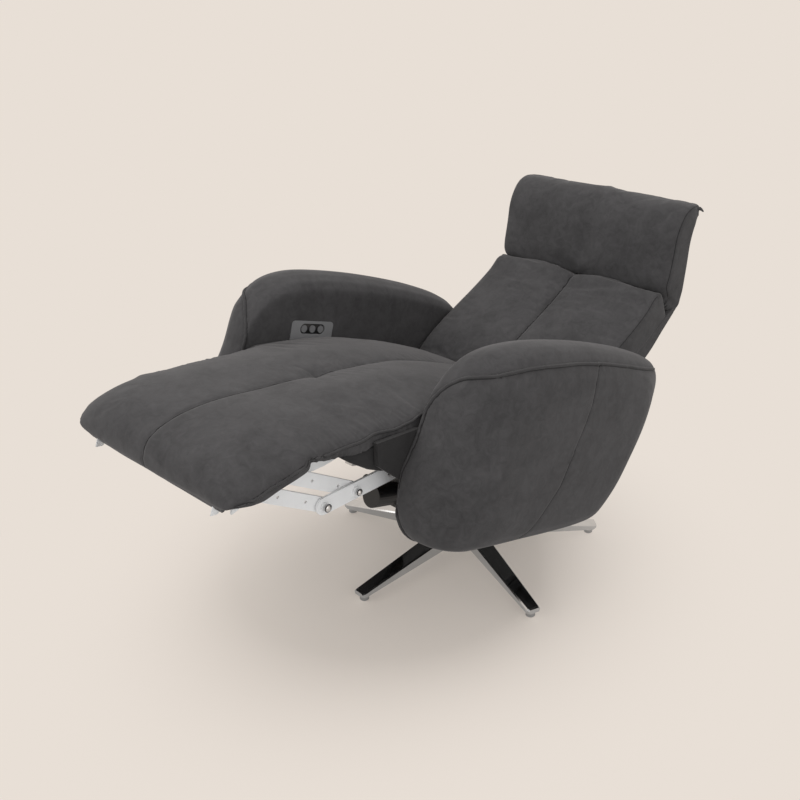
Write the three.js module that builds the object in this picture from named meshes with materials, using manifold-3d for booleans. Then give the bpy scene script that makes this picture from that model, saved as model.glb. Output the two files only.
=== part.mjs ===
// Power swivel recliner on a five leg star base, in millimetres, Z up, front towards -Y.
// The origin is on the floor, in the middle of the open chair's length. The sitter's left is +X.
// It is shown as photographed: glided forward and tilted back, leg rest out, back down, headrest up.

import * as THREE from "three";
import { mergeVertices } from "three/addons/utils/BufferGeometryUtils.js";
import Module from "manifold-3d";

const wasm = await Module();
wasm.setup();

// Clearances
const seatGap = 0.3;
const runGap = 0.6;
const overrun = 2;

// How far the swivel axis lies behind the origin. All other places are measured from that axis.
const axisBehind = 121.3;

// Posture angles in degrees, and the axes that the parts turn about, in the level seat's frame
const tiltAngle = 17.5;
const reclineAngle = 48;
const headAngle = 42;
const poleY = 102;
const legAxisY = -450;
const legAxisZ = 383;
const liftAxisY = -288;
const liftAxisZ = 342;
const backAxisY = 238;
const backAxisZ = 413;
const headAxisBehind = -20.7;
const headAxisUp = 378.3;

// Star base
const legCount = 5;
const legPhaseAngle = -93;
const legReach = 345;
const legTipTop = 28;
const legRootTop = 72;
const legTipWidth = 33;
const legRootWidth = 50;
const legTipDepth = 15;
const legRootDepth = 39;
const legEdge = 3;
const legWall = 4;
const hubRadius = 48;
const hubTop = 84;
const hubBottom = 24;
const hubBevel = 6;
const glideRadius = 11;
const glideEdge = 2;
const glideInset = 17;
const glideHeight = 9;
const glideStem = 5;

// Pedestal and swivel bearing
const columnRadius = 30;
const columnBottom = 34;
const columnTop = 182;
const columnFlangeRadius = 55;
const columnFlange = 6;
const spigotRadius = 15;
const spigotRise = 25;
const ringOuter = 52;
const ringInner = 34;
const ringHeight = 8;
const washerRadius = 26;
const washerHeight = 5;

// Turntable
const plateThickness = 8;
const plateHalfWidth = 150;
const plateFront = -132;
const plateRear = 168;
const plateCorner = 26;
const plateHole = 24;
const plateHoleInset = 62;
const bracketInset = 11;
const bracketThickness = 6;
const guidePinRadius = 5;
const guideHeadRadius = 9;
const guideHead = 3;
const guideBoss = 15;

// Rocker plates that glide on the guide pins. The pins lie this far forward of the tilt axis.
const rockerThickness = 6;
const guideRadius = 456;
const guideLowest = 262;
const frontGuideForward = 185.5;
const rearGuideForward = -23.9;
const rockerBand = 26;
const rockerEnd = 54;
const rockerRearRise = 20;
const rockerHoleRadius = 34;
const rockerHoleZ = 312;

// Seat box. The side boards' inner faces set how wide the seat, leg rest, back and headrest are.
const boardInner = 252;
const boardThickness = 10;
const boardFront = -463;
const boardRear = 296;
const boardTop = 425;
const boardBottom = 280;
const boardEar = 50;
const deckTop = 398;
const deckThickness = 6;
const deckFront = -398;
const deckRear = 140;
const deckWindow = 118;
const deckWindowCount = 3;
const railDepth = 22;
const railHeight = 24;
const tubeSize = 30;
const tubeWall = 3;
const frontTubeY = -112;
const frontTubeZ = 350;
const rearTubeY = 190;
const rearTubeZ = 306;
const strapCount = 4;
const strapWidth = 48;
const strapThickness = 2;

// Seat cushion
const seatInset = 2;
const seatFrontInset = 6;
const seatRear = 157;
const seatBottom = 400.6;
const seatCrown = 89;

// Leg rest linkage, a parallelogram of lift links and bars. The upper bar's bolt lies a share of
// the way from the knee to the lift axis.
const boltShare = 0.322;
const flangeInset = 55.6;
const linkThickness = 5;
const linkWidth = 34;
const barWidth = 28;
const barHole = 3;
const linkHole = 7;
const rivetRadius = 5;
const rivetHeadRadius = 9;
const rivetHead = 3;
const liftPinRadius = 8;
const hangerWidth = 24;
const hangerTopLength = 134;
const hangerTopDepth = 40;
const torqueRadius = 11;
const bumperRadius = 11;
const bumperLength = 11;
const bumperShare = 0.49;

// Cranks and their pins, used by both actuators
const crankThickness = 8;
const crankWidth = 24;
const crankPinRadius = 5;
const crankOffset = 16;
const legCrankPlay = 1.2;
const backCrankPlay = 0.5;
const legCrankY = -315.4;
const legCrankZ = 306.3;
const legRodZ = 301.6;
const legDriveX = 76;
const backCrankBehind = 36.4;
const backCrankUp = -59.7;
const backRodZ = 347;
const backRodEyeY = 218;
const backDriveInset = 86.8;

// Leg rest
const legLength = 304;
const legRise = 70;
const legInset = 4;
const legBoardInset = 9.4;
const legBoardThickness = 12;
const hingeRelief = 15;
const hingeBoss = 11;

// Actuators
const driveRadius = 17;
const driveLength = 124;
const rodRadius = 7;
const rodLength = 150;
const eyeDepth = 26;
const eyeWidth = 20;
const eyeHeight = 26;
const slotHeight = 5;
const gearThickness = 26;
const gearMargin = 4;
const motorRadius = 24;
const motorLength = 66;
const legGearY = -215;
const legMotorAside = 34;
const legMotorDrop = 74;
const backGearY = -86;
const backMotorAside = 44;
const backMotorDrop = 26;
const lugWidth = 14;

// Back
const backInset = 3;
const backTop = 355;
const backBottom = -42;
const cushionDepth = 77;
const shellDepth = 77;
const shellWall = 8;
const shellTop = 396;
const shellHollowTop = 296;
const backNotch = 55;
const panelInset = 16;
const panelFront = -12;
const panelRear = 13;
const panelTop = 318;
const panelBottom = -38;
const panelHole = 38;
const panelHoleRise = 110;
const panelHoleFirst = 60;
const pivotRadius = 7;

// Headrest
const headProud = 2;
const headHeight = 270;
const headDepth = 78;
const earInset = 99;
const earThickness = 6;
const earWidth = 24;
const headBarRadius = 8;
const headBarEnd = 11;
const coreInset = 41;
const coreThickness = 10;
const coreTop = 105;
const barrelRadius = 13;

// Arms
const armFront = -392;
const armRear = 374;
const armTop = 612;
const armBottom = 200;
const armWidth = 142;
const armRound = 40;
const armPoints = 38;

// Control plate on the right arm
const controlLength = 124;
const controlHeight = 52;
const controlThickness = 6;
const controlProud = 2;
const controlY = -173;
const controlZ = 478;
const controlCorner = 9;
const buttonPitch = 25;
const buttonRadius = 8.6;
const buttonTravel = 1.8;
const buttonLength = 8;
const buttonZ = 486;
const recessDepth = 2;
const recessMargin = 3.4;

// The linkage's knee from the lift axis, and the leg board from the leg rest's axis
const kneeShares = [0.7401, -0.9714];
const legBoardShares = [[0.8684, -1.2571], [0.4934, -0.4114]];

// Outlines as shares. Pads: shares of length forward and of height up.
const seatTopShares = [
  [0, 0.5], [0.16, 0.7], [0.335, 0.92], [0.48, 1], [0.69, 0.93], [0.88, 0.74], [1, 0.55],
];
const legUnderShares = [
  [0.007, -0.07], [0.247, -0.11], [0.487, -0.17], [0.69, -0.59], [0.822, -0.91], [0.895, -1.12],
  [0.917, -1.33], [0.895, -1.61],
];
const legOverShares = [
  [0.007, 0.91], [0.214, 0.69], [0.46, 0.46], [0.674, 0.23], [0.839, -0.13], [0.9375, -0.44],
  [0.982, -0.83], [0.972, -1.4],
];
const legFlangeShares = [
  [0.02, -0.04], [0.07, -0.12], [0.247, -0.118], [0.487, -0.178], [0.69, -0.598], [0.8, -0.868],
  [0.85, -1], [0.842, -1.5], [0.743, -1.22],
  [0.5, -0.87], [0.23, -0.54], [0.02, -0.15],
];
const backFrontShares = [[-0.115, 0.76], [0, 0.96], [0.2, 1], [0.6, 0.98], [0.85, 0.99], [1, 1]];
const backRearShares = [[-0.106, 0.95], [0.1, 1], [0.36, 0.96], [0.64, 0.82], [0.81, 0.6], [1, 0.45]];
const headRearShares = [
  [-0.165, 0.26], [-0.05, 0.61], [0.015, 0.63], [0.17, 0.46], [0.43, 0.23], [0.655, -0.1],
  [0.867, -0.06], [0.985, 0.17],
];
const headFrontShares = [
  [-0.165, -0.26], [-0.05, -0.61], [0.04, -0.64], [0.15, -0.72], [0.33, -0.84], [0.6, -1],
  [0.78, -0.9], [0.97, -0.26],
];
const armShares = [
  [0.067, 0.024], [0.026, 0.072], [0.008, 0.178], [0.005, 0.349], [0.01, 0.49], [0.014, 0.61],
  [0.008, 0.731], [0.018, 0.827], [0.051, 0.889], [0.098, 0.93], [0.178, 0.971], [0.266, 0.99],
  [0.381, 1], [0.516, 0.998], [0.669, 0.978], [0.782, 0.952], [0.891, 0.911], [0.958, 0.856],
  [0.991, 0.779], [0.992, 0.695], [0.978, 0.572], [0.943, 0.428], [0.887, 0.243], [0.819, 0.111],
  [0.758, 0.048], [0.651, 0.024], [0.505, 0.017], [0.35, 0.017], [0.196, 0.017],
];
// Across the arm: share of the width, then insets at the front, rear, bottom and top
const armInsetShares = [
  [0, 0.2, 0.35, 0.2, 0.85], [0.09, 0.07, 0.15, 0.07, 0.4], [0.265, 0, 0.05, 0, 0.12],
  [0.477, 0, 0, 0, 0], [0.653, 0.15, 0.15, 0.05, 0.1], [0.794, 0.5, 0.55, 0.2, 0.35],
  [0.9, 0.95, 1.1, 0.5, 0.8], [0.97, 1.55, 1.75, 0.95, 1.45], [1, 2.25, 2.5, 1.5, 2.1],
];

// Places that follow from the sizes above
const tiltPole = { y: poleY, z: guideLowest + guideRadius };
const legAxis = { y: legAxisY, z: legAxisZ };
const liftAxis = { y: liftAxisY, z: liftAxisZ };
const backAxis = { y: backAxisY, z: backAxisZ };
const headAxis = { y: headAxisBehind, z: headAxisUp };
const knee = { y: liftAxis.y - legLength * kneeShares[0], z: liftAxis.z + legRise * kneeShares[1] };
const between = (a, b, share) => ({ y: a.y + (b.y - a.y) * share, z: a.z + (b.z - a.z) * share });
const upperBolt = between(knee, liftAxis, boltShare);
const shifted = (at) => ({ y: at.y + legAxis.y - liftAxis.y, z: at.z + legAxis.z - liftAxis.z });
const lowerFar = shifted(knee);
const upperFar = shifted(upperBolt);
const flangeTop = columnTop + columnFlange;
const ringBottom = flangeTop + seatGap;
const plateBottom = ringBottom + ringHeight + seatGap;
const plateTop = plateBottom + plateThickness;
const spigotTop = flangeTop + spigotRise;
const glideReach = legReach - glideInset;
const bracketX = plateHalfWidth - bracketInset;
const rockerX = bracketX + bracketThickness / 2 + runGap * 3 + rockerThickness / 2;
const backDriveX = backDriveInset - rockerX;
const slotRadius = guidePinRadius + runGap;
const guideAngle = (forward) => THREE.MathUtils.radToDeg(Math.asin(forward / guideRadius));
const frontGuideAngle = guideAngle(frontGuideForward);
const rearGuideAngle = guideAngle(rearGuideForward);
const rockerFrontAngle = frontGuideAngle + guideAngle(rockerEnd);
const rockerRearAngle = rearGuideAngle - tiltAngle - guideAngle(rockerEnd);

// Widths that follow the side boards
const boardOuter = boardInner + boardThickness;
const armInner = boardOuter + seatGap;
const controlInner = armInner - controlProud;
const seatHalf = boardInner - seatInset;
const seatFront = legAxisY + seatFrontInset;
const legHalf = boardInner - legInset;
const backHalf = boardInner - backInset;
const panelHalf = boardInner - panelInset;
const headHalf = boardInner + headProud;
const earX = boardInner - earInset;
const headBarHalf = earX + headBarEnd;
const coreHalf = earX - coreInset;
const linkStep = linkThickness + runGap * 3;
const flangeX = boardInner - flangeInset;
const barX = flangeX + linkStep;
const linkX = barX + linkStep;
const hangerX = linkX + linkStep;
const legBoardHalf = flangeX - legBoardInset;

// Finishes, as seen in the photograph
const finish = (color, roughness, metalness) =>
  new THREE.MeshStandardMaterial({ color, roughness, metalness });
const fabric = finish(0x47464a, 0.95, 0);
const chrome = finish(0xc9cdd2, 0.12, 1);
const painted = finish(0xdcdedd, 0.45, 0.1);
const darkSteel = finish(0x3a3b3e, 0.5, 0.6);
const blackPlastic = finish(0x111213, 0.5, 0);
const rubber = finish(0x17171a, 0.85, 0);
const plywood = finish(0xb48a5a, 0.7, 0);
const silver = finish(0x9a9b9e, 0.35, 0.8);
const webbing = finish(0x2b2b2e, 0.9, 0);

const radians = THREE.MathUtils.degToRad;
const sides = [["left", 1], ["right", -1]];

// Solids that can be cut and joined
function toSolid(geometry) {
  const bare = geometry.index ? geometry.toNonIndexed() : geometry.clone();
  bare.deleteAttribute("normal");
  bare.deleteAttribute("uv");
  const merged = mergeVertices(bare, 1e-4);
  const mesh = new wasm.Mesh({
    numProp: 3,
    vertProperties: new Float32Array(merged.attributes.position.array),
    triVerts: new Uint32Array(merged.index.array),
  });
  return new wasm.Manifold(mesh);
}

function toGeometry(solid) {
  const mesh = solid.getMesh();
  const geometry = new THREE.BufferGeometry();
  const positions = new THREE.BufferAttribute(new Float32Array(mesh.vertProperties), 3);
  geometry.setAttribute("position", positions);
  geometry.setIndex(new THREE.BufferAttribute(new Uint32Array(mesh.triVerts), 1));
  const flat = geometry.toNonIndexed();
  flat.computeVertexNormals();
  return flat;
}

function cut(geometry, ...tools) {
  return toGeometry(tools.reduce((left, tool) => left.subtract(toSolid(tool)), toSolid(geometry)));
}

function join(geometry, ...others) {
  return toGeometry(others.reduce((left, other) => left.add(toSolid(other)), toSolid(geometry)));
}

// Shapes drawn in the Y-Z plane and run along X
const alongX = new THREE.Matrix4().makeBasis(
  new THREE.Vector3(0, 1, 0), new THREE.Vector3(0, 0, 1), new THREE.Vector3(1, 0, 0));

function profile(points) {
  return new THREE.Shape(points.map(([y, z]) => new THREE.Vector2(y, z)));
}

function plate(shape, centreX, thickness, curveSegments = 6) {
  const settings = { depth: thickness, bevelEnabled: false, curveSegments };
  const geometry = new THREE.ExtrudeGeometry(shape, settings);
  geometry.applyMatrix4(alongX);
  return geometry.translate(centreX - thickness / 2, 0, 0);
}

function box(x0, x1, y0, y1, z0, z1) {
  const geometry = new THREE.BoxGeometry(x1 - x0, y1 - y0, z1 - z0);
  return geometry.translate((x0 + x1) / 2, (y0 + y1) / 2, (z0 + z1) / 2);
}

function rodX(radius, x0, x1, at, sides = 12) {
  const geometry = new THREE.CylinderGeometry(radius, radius, x1 - x0, sides);
  return geometry.rotateZ(Math.PI / 2).translate((x0 + x1) / 2, at.y, at.z);
}

function rodY(radius, y0, y1, x, z, sides = 16) {
  const geometry = new THREE.CylinderGeometry(radius, radius, y1 - y0, sides);
  return geometry.translate(x, (y0 + y1) / 2, z);
}

function turned(points, sides = 28) {
  const outline = points.map(([radius, z]) => new THREE.Vector2(radius, z));
  return new THREE.LatheGeometry(outline, sides).rotateX(Math.PI / 2);
}

function disc(radius, bottom, top, sides = 28) {
  return turned([[0, bottom], [radius, bottom], [radius, top], [0, top]], sides);
}

function washer(inner, outer, bottom, top) {
  return turned([[inner, bottom], [outer, bottom], [outer, top], [inner, top], [inner, bottom]]);
}

// The same solid on the other side of the seat
function mirrored(geometry) {
  const solid = toSolid(geometry).mirror([1, 0, 0]);
  return toGeometry(solid);
}

// A flat bar with round ends between two points
function barShape(from, to, width) {
  const angle = Math.atan2(to.z - from.z, to.y - from.y);
  const half = width / 2;
  const shape = new THREE.Shape();
  shape.absarc(from.y, from.z, half, angle + Math.PI / 2, angle + Math.PI * 1.5, false);
  shape.absarc(to.y, to.z, half, angle - Math.PI / 2, angle + Math.PI / 2, false);
  return shape;
}

function holesX(centreX, thickness, radius, places) {
  const half = thickness / 2 + overrun;
  return places.map((at) => rodX(radius, centreX - half, centreX + half, at));
}

// A closed skin over rings with the same number of points, faces outward whichever way they run
function loft(rings) {
  const count = rings[0].length;
  const points = rings.flat();
  const first = points.push(middle(rings[0])) - 1;
  const last = points.push(middle(rings[rings.length - 1])) - 1;
  const faces = [];
  for (let ring = 0; ring + 1 < rings.length; ring++) {
    for (let i = 0; i < count; i++) {
      const a = ring * count + i;
      const b = ring * count + ((i + 1) % count);
      faces.push([a, b, b + count], [a, b + count, a + count]);
    }
  }
  const start = (rings.length - 1) * count;
  for (let i = 0; i < count; i++) {
    const next = (i + 1) % count;
    faces.push([first, next, i], [last, start + i, start + next]);
  }
  const volume = faces.reduce((sum, [a, b, c]) => {
    const [p, q, r] = [points[a], points[b], points[c]].map((point) => new THREE.Vector3(...point));
    return sum + p.dot(q.cross(r));
  }, 0);
  if (volume < 0) faces.forEach((face) => face.reverse());
  const geometry = new THREE.BufferGeometry();
  geometry.setAttribute("position", new THREE.Float32BufferAttribute(points.flat(), 3));
  geometry.setIndex(faces.flat());
  return geometry;
}

function middle(ring) {
  return [0, 1, 2].map((axis) => ring.reduce((sum, point) => sum + point[axis], 0) / ring.length);
}

// The cross section of an upholstered pad, in shares of its half width and of its height: a flat
// underside, a welt at the sides and two crowned halves that meet in a sewn centre channel
function padSection(count, weltShare, channelShare, drawInShare) {
  const section = [];
  for (let i = 0; i < count; i++) {
    const across = 1 - (2 * i) / (count - 1);
    const share = Math.abs(across);
    const fall = Math.max(0, (share - 0.45) / 0.55) ** 3;
    const dip = Math.max(0, 1 - share / 0.3) ** 2;
    section.push([across * (1 - drawInShare / 3), 1 - (1 - weltShare) * fall - channelShare * dip]);
  }
  section.push([-1, weltShare * 0.5], [-1 + drawInShare, 0], [0, 0], [1 - drawInShare, 0]);
  section.push([1, weltShare * 0.5]);
  return section;
}

// Sweeps a section between an underside and a top curve, both lists of points in the Y-Z plane
function pad(under, over, count, half, section) {
  const curve = (points) =>
    new THREE.CatmullRomCurve3(points.map(([y, z]) => new THREE.Vector3(0, y, z)), false, "centripetal");
  const low = curve(under);
  const high = curve(over);
  const rings = [];
  for (let i = 0; i < count; i++) {
    const share = i / (count - 1);
    const a = low.getPoint(share);
    const b = high.getPoint(share);
    rings.push(section.map(([across, rise]) =>
      [across * half, a.y + (b.y - a.y) * rise, a.z + (b.z - a.z) * rise]));
  }
  return loft(rings);
}

// Groups that turn what they hold about an X axis
function turningGroup(axis, degrees) {
  const outer = new THREE.Group();
  outer.position.set(0, axis.y, axis.z);
  outer.rotation.x = radians(degrees);
  const inner = new THREE.Group();
  inner.position.set(0, -axis.y, -axis.z);
  outer.add(inner);
  return { outer, inner };
}

const recliner = new THREE.Group();
const chair = new THREE.Group();
chair.position.y = axisBehind;
recliner.add(chair);
const seatTurn = turningGroup(tiltPole, -tiltAngle);
chair.add(seatTurn.outer);
const seat = seatTurn.inner;
const back = new THREE.Group();
back.position.set(0, backAxis.y, backAxis.z);
back.rotation.x = radians(-reclineAngle);
seat.add(back);
const head = new THREE.Group();
head.position.set(0, headAxis.y, headAxis.z);
head.rotation.x = radians(headAngle);
back.add(head);

function add(group, name, geometry, material) {
  const mesh = new THREE.Mesh(geometry, material);
  mesh.name = name;
  group.add(mesh);
}

// The two of a mirrored pair
function addPair(group, name, geometry, material) {
  add(group, `${name}_left`, geometry, material);
  add(group, `${name}_right`, mirrored(geometry), material);
}

// Star base: hub, five hollow tapered legs and a boss under each tip for the glide
function starLeg(hollow) {
  const wall = hollow ? legWall : 0;
  const station = (reach, top, width, depth) => {
    const half = width / 2 - wall;
    const roof = top - wall;
    const floor = hollow ? -overrun : top - depth;
    const under = half * 0.86;
    return [
      [reach, -half, roof - legEdge], [reach, legEdge - half, roof], [reach, half - legEdge, roof],
      [reach, half, roof - legEdge], [reach, under, floor], [reach, -under, floor],
    ];
  };
  const rootReach = hubRadius * 0.4;
  const tipReach = legReach - legTipWidth / 4;
  const along = (reach) => {
    const share = (reach - rootReach) / (tipReach - rootReach);
    const taper = (root, tip) => THREE.MathUtils.lerp(root, tip, share);
    return station(reach, taper(legRootTop, legTipTop), taper(legRootWidth, legTipWidth),
      taper(legRootDepth, legTipDepth));
  };
  if (hollow) {
    return loft([along(hubRadius + legWall), along(glideReach - glideRadius * 1.6)]);
  }
  return loft([along(rootReach), along(tipReach),
    station(legReach, legTipTop, legTipWidth * 0.86, legTipDepth * 0.7)]);
}

function buildBase() {
  const hub = turned([
    [0, hubBottom], [hubRadius - hubBevel, hubBottom], [hubRadius, hubBottom + hubBevel],
    [hubRadius, hubTop - hubBevel], [hubRadius - hubBevel, hubTop], [0, hubTop],
  ]);
  const turns = [...Array(legCount).keys()].map((i) => radians(legPhaseAngle + (360 / legCount) * i));
  const atTips = (make) => turns.map((turn) => make().translate(glideReach, 0, 0).rotateZ(turn));
  const bossTop = legTipTop - legWall / 2;
  const stemTop = glideHeight + glideStem + seatGap;
  let star = join(hub, ...turns.map((turn) => starLeg(false).rotateZ(turn)));
  star = cut(star, ...turns.map((turn) => starLeg(true).rotateZ(turn)));
  star = join(star, ...atTips(() => disc(glideRadius, glideHeight + seatGap, bossTop, 12)));
  const socket = disc(columnRadius + seatGap, columnBottom - seatGap, hubTop + overrun);
  star = cut(star, socket, ...atTips(() => disc(glideStem + seatGap, 0, stemTop, 10)));
  add(chair, "star_base", star, chrome);
  const glides = atTips(() => turned([
    [0, 0], [glideRadius - glideEdge, 0], [glideRadius, glideEdge], [glideRadius, glideHeight],
    [glideStem, glideHeight], [glideStem, glideHeight + glideStem], [0, glideHeight + glideStem],
  ], 16));
  glides.forEach((glide, i) => add(chair, `foot_glide_${i + 1}`, glide, rubber));
}

// Pedestal column with a flange and spigot, the bearing ring and the washer that keeps the plate on
function buildPedestal() {
  const column = turned([
    [0, columnBottom], [columnRadius, columnBottom], [columnRadius, columnTop],
    [columnFlangeRadius, columnTop], [columnFlangeRadius, flangeTop], [spigotRadius, flangeTop],
    [spigotRadius, spigotTop], [0, spigotTop],
  ]);
  add(chair, "pedestal_column", column, chrome);
  const ring = washer(ringInner, ringOuter, ringBottom, ringBottom + ringHeight);
  add(chair, "bearing_ring", ring, darkSteel);
  const keeperBottom = plateTop + runGap;
  const keeper = washer(spigotRadius + seatGap, washerRadius, keeperBottom, keeperBottom + washerHeight);
  add(chair, "retaining_washer", keeper, silver);
}

// A point on a circle about the tilt pole, by its angle from straight down towards the front
const onGuide = (degrees, radius) => ({
  y: tiltPole.y - radius * Math.sin(radians(degrees)),
  z: tiltPole.z - radius * Math.cos(radians(degrees)),
});

function buildTurntable() {
  const c = plateCorner;
  const w = plateHalfWidth;
  const outline = [
    [c - w, plateFront], [w - c, plateFront], [w, plateFront + c], [w, plateRear - c],
    [w - c, plateRear], [c - w, plateRear], [-w, plateRear - c], [-w, plateFront + c],
  ];
  const blank = new THREE.ExtrudeGeometry(profile(outline), { depth: plateThickness, bevelEnabled: false });
  const low = plateBottom - overrun;
  const high = plateTop + overrun;
  const corners = [-1, 1].flatMap((x) => [plateFront + plateHoleInset, plateRear - plateHoleInset]
    .map((y) => disc(plateHole, low, high, 16).translate(x * (w - plateHoleInset), y, 0)));
  const swivel = cut(blank.translate(0, 0, plateBottom), disc(spigotRadius + runGap, low, high), ...corners);
  add(chair, "swivel_plate", swivel, darkSteel);

  const front = onGuide(frontGuideAngle, guideRadius);
  const rear = onGuide(rearGuideAngle, guideRadius);
  const foot = plateTop + seatGap;
  const shape = profile([
    [front.y - guideBoss, foot], [rear.y + guideBoss, foot], [rear.y + guideBoss, rear.z],
    [rear.y - guideBoss, rear.z], [front.y + guideBoss * 2, foot + guideBoss * 2],
    [front.y + guideBoss, front.z], [front.y - guideBoss, front.z],
  ]);
  const inner = bracketX - bracketThickness / 2;
  const outer = rockerX + rockerThickness / 2 + runGap;
  const studs = [front, rear].flatMap((at) => [
    rodX(guideBoss, inner, inner + bracketThickness, at, 20),
    rodX(guidePinRadius, inner, outer + overrun / 2, at),
    rodX(guideHeadRadius, outer, outer + guideHead, at),
  ]);
  const bracket = join(plate(shape, bracketX, bracketThickness), ...studs);
  addPair(chair, "carrier_bracket", bracket, darkSteel);
}

// Rocker plates with two arc slots that ride on the studs of the carrier brackets
function buildRockers() {
  const arc = (path, from, to, radius, clockwise) => path.absarc(
    tiltPole.y, tiltPole.z, radius, radians(-90 - from), radians(-90 - to), clockwise);
  const shape = new THREE.Shape();
  arc(shape, rockerFrontAngle, rockerRearAngle, guideRadius + rockerBand, false);
  const backEnd = Math.asin((tiltPole.y - rearTubeY - tubeSize) / (guideRadius - rockerBand));
  arc(shape, rockerRearAngle, THREE.MathUtils.radToDeg(backEnd), guideRadius - rockerBand, true);
  shape.lineTo(rearTubeY + tubeSize, rearTubeZ - tubeSize / 2 + rockerRearRise);
  shape.lineTo(rearTubeY - tubeSize, rearTubeZ - tubeSize / 2 + rockerRearRise);
  shape.lineTo(frontTubeY + tubeSize, frontTubeZ);
  shape.lineTo(frontTubeY - tubeSize, frontTubeZ);
  const blank = plate(shape, rockerX, rockerThickness, 10);
  const half = rockerThickness / 2 + overrun;
  const slots = [frontGuideAngle, rearGuideAngle].flatMap((high) => {
    const low = high - tiltAngle;
    const slot = new THREE.Shape();
    arc(slot, high, low, guideRadius + slotRadius, false);
    arc(slot, low, high, guideRadius - slotRadius, true);
    const ends = [high, low].map((angle) => onGuide(angle, guideRadius));
    return [
      plate(slot, rockerX, rockerThickness + overrun * 2, 8),
      ...ends.map((at) => rodX(slotRadius, rockerX - half, rockerX + half, at)),
    ];
  });
  const fit = tubeSize / 2 + seatGap;
  const notches = [[frontTubeY, frontTubeZ], [rearTubeY, rearTubeZ]].map(([y, z]) =>
    box(rockerX - half, rockerX + half, y - fit, y + fit, z - fit, z + fit + tubeSize));
  const window = rodX(rockerHoleRadius, rockerX - half, rockerX + half, { y: (frontTubeY + rearTubeY) / 2, z: rockerHoleZ });
  addPair(seat, "rocker_plate", cut(blank, window, ...slots, ...notches), darkSteel);
}

// Seat box: two side boards, cross tubes, front rail, deck and webbing
function buildSeatBox() {
  const r = tubeSize / 2;
  const tube = (y, z) => {
    const half = boardInner - seatGap;
    const bore = r - tubeWall;
    return cut(box(-half, half, y - r, y + r, z - r, z + r),
      box(-half - overrun, half + overrun, y - bore, y + bore, z - bore, z + bore));
  };
  add(seat, "front_cross_tube", tube(frontTubeY, frontTubeZ), darkSteel);
  add(seat, "rear_cross_tube", tube(rearTubeY, rearTubeZ), darkSteel);
  const deckBottom = deckTop - deckThickness;
  const railHalf = hangerX - linkThickness / 2 - seatGap;
  const railTop = deckBottom - seatGap;
  const rail = box(-railHalf, railHalf, deckFront, deckFront + railDepth, railTop - railHeight, railTop);
  add(seat, "front_rail", rail, darkSteel);

  const deckHalf = boardInner - seatGap;
  const places = [...Array(deckWindowCount).keys()].map((i) => (i + 0.5) / deckWindowCount);
  const windows = places.flatMap((across) => places.map((along) => {
    const x = (across * 2 - 1) * deckHalf;
    const y = deckFront + (deckRear - deckFront) * along;
    const half = deckWindow / 2;
    return box(x - half, x + half, y - half, y + half, deckBottom - overrun, deckTop + overrun);
  }));
  add(seat, "seat_deck", cut(box(-deckHalf, deckHalf, deckFront, deckRear, deckBottom, deckTop), ...windows), plywood);
  const strapBottom = deckTop + seatGap;
  const strapTop = strapBottom + strapThickness;
  const reach = deckHalf - overrun;
  const straps = [...Array(strapCount).keys()].flatMap((i) => {
    const share = (i + 0.5) / strapCount;
    const x = (share * 2 - 1) * reach;
    const y = deckFront + (deckRear - deckFront) * share;
    const half = strapWidth / 2;
    return [
      box(x - half, x + half, deckFront, deckRear, strapBottom, strapTop),
      box(-reach, reach, y - half, y + half, strapBottom, strapBottom + strapThickness * 0.7),
    ];
  });
  add(seat, "seat_webbing", join(...straps), webbing);

  const board = profile([
    [boardFront, boardTop - boardEar * 0.44], [boardFront + boardEar * 0.3, boardTop - boardEar * 1.32],
    [boardFront + boardEar * 1.5, boardTop - boardEar * 1.9], [frontTubeY, boardBottom + boardEar * 0.4],
    [rearTubeY - tubeSize, boardBottom], [backAxis.y, boardBottom], [boardRear, boardBottom + boardEar],
    [boardRear, backAxis.z + boardEar * 0.4], [backAxis.y, backAxis.z], [rearTubeY - tubeSize, boardTop],
    [boardFront + boardEar * 2, boardTop],
  ]);
  const centre = boardInner + boardThickness / 2;
  const blank = join(plate(board, centre, boardThickness),
    rodX(boardEar, boardInner, boardOuter, backAxis, 40));
  const pivot = holesX(centre, boardThickness, pivotRadius + runGap, [backAxis]);
  addPair(seat, "side_board", cut(blank, ...pivot), plywood);
}

// Hangers under the deck that carry the lift links and the leg rest's hinge studs
function buildHangers() {
  const deckBottom = deckTop - deckThickness - seatGap;
  const half = linkThickness / 2;
  const top = box(hangerX - half, hangerX + half, deckFront, deckFront + hangerTopLength,
    deckBottom - hangerTopDepth, deckBottom);
  const inner = flangeX - half - runGap;
  const blank = join(plate(barShape(legAxis, liftAxis, hangerWidth), hangerX, linkThickness), top,
    rodX(liftPinRadius * 2.4, hangerX - half, hangerX + half, liftAxis, 28),
    rodX(rivetRadius, inner - rivetHead / 2, hangerX + half, legAxis),
    rodX(rivetHeadRadius, inner - rivetHead, inner, legAxis));
  const bore = holesX(hangerX, linkThickness, liftPinRadius + runGap, [liftAxis]);
  addPair(seat, "link_hanger", cut(blank, ...bore), darkSteel);
}

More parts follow.
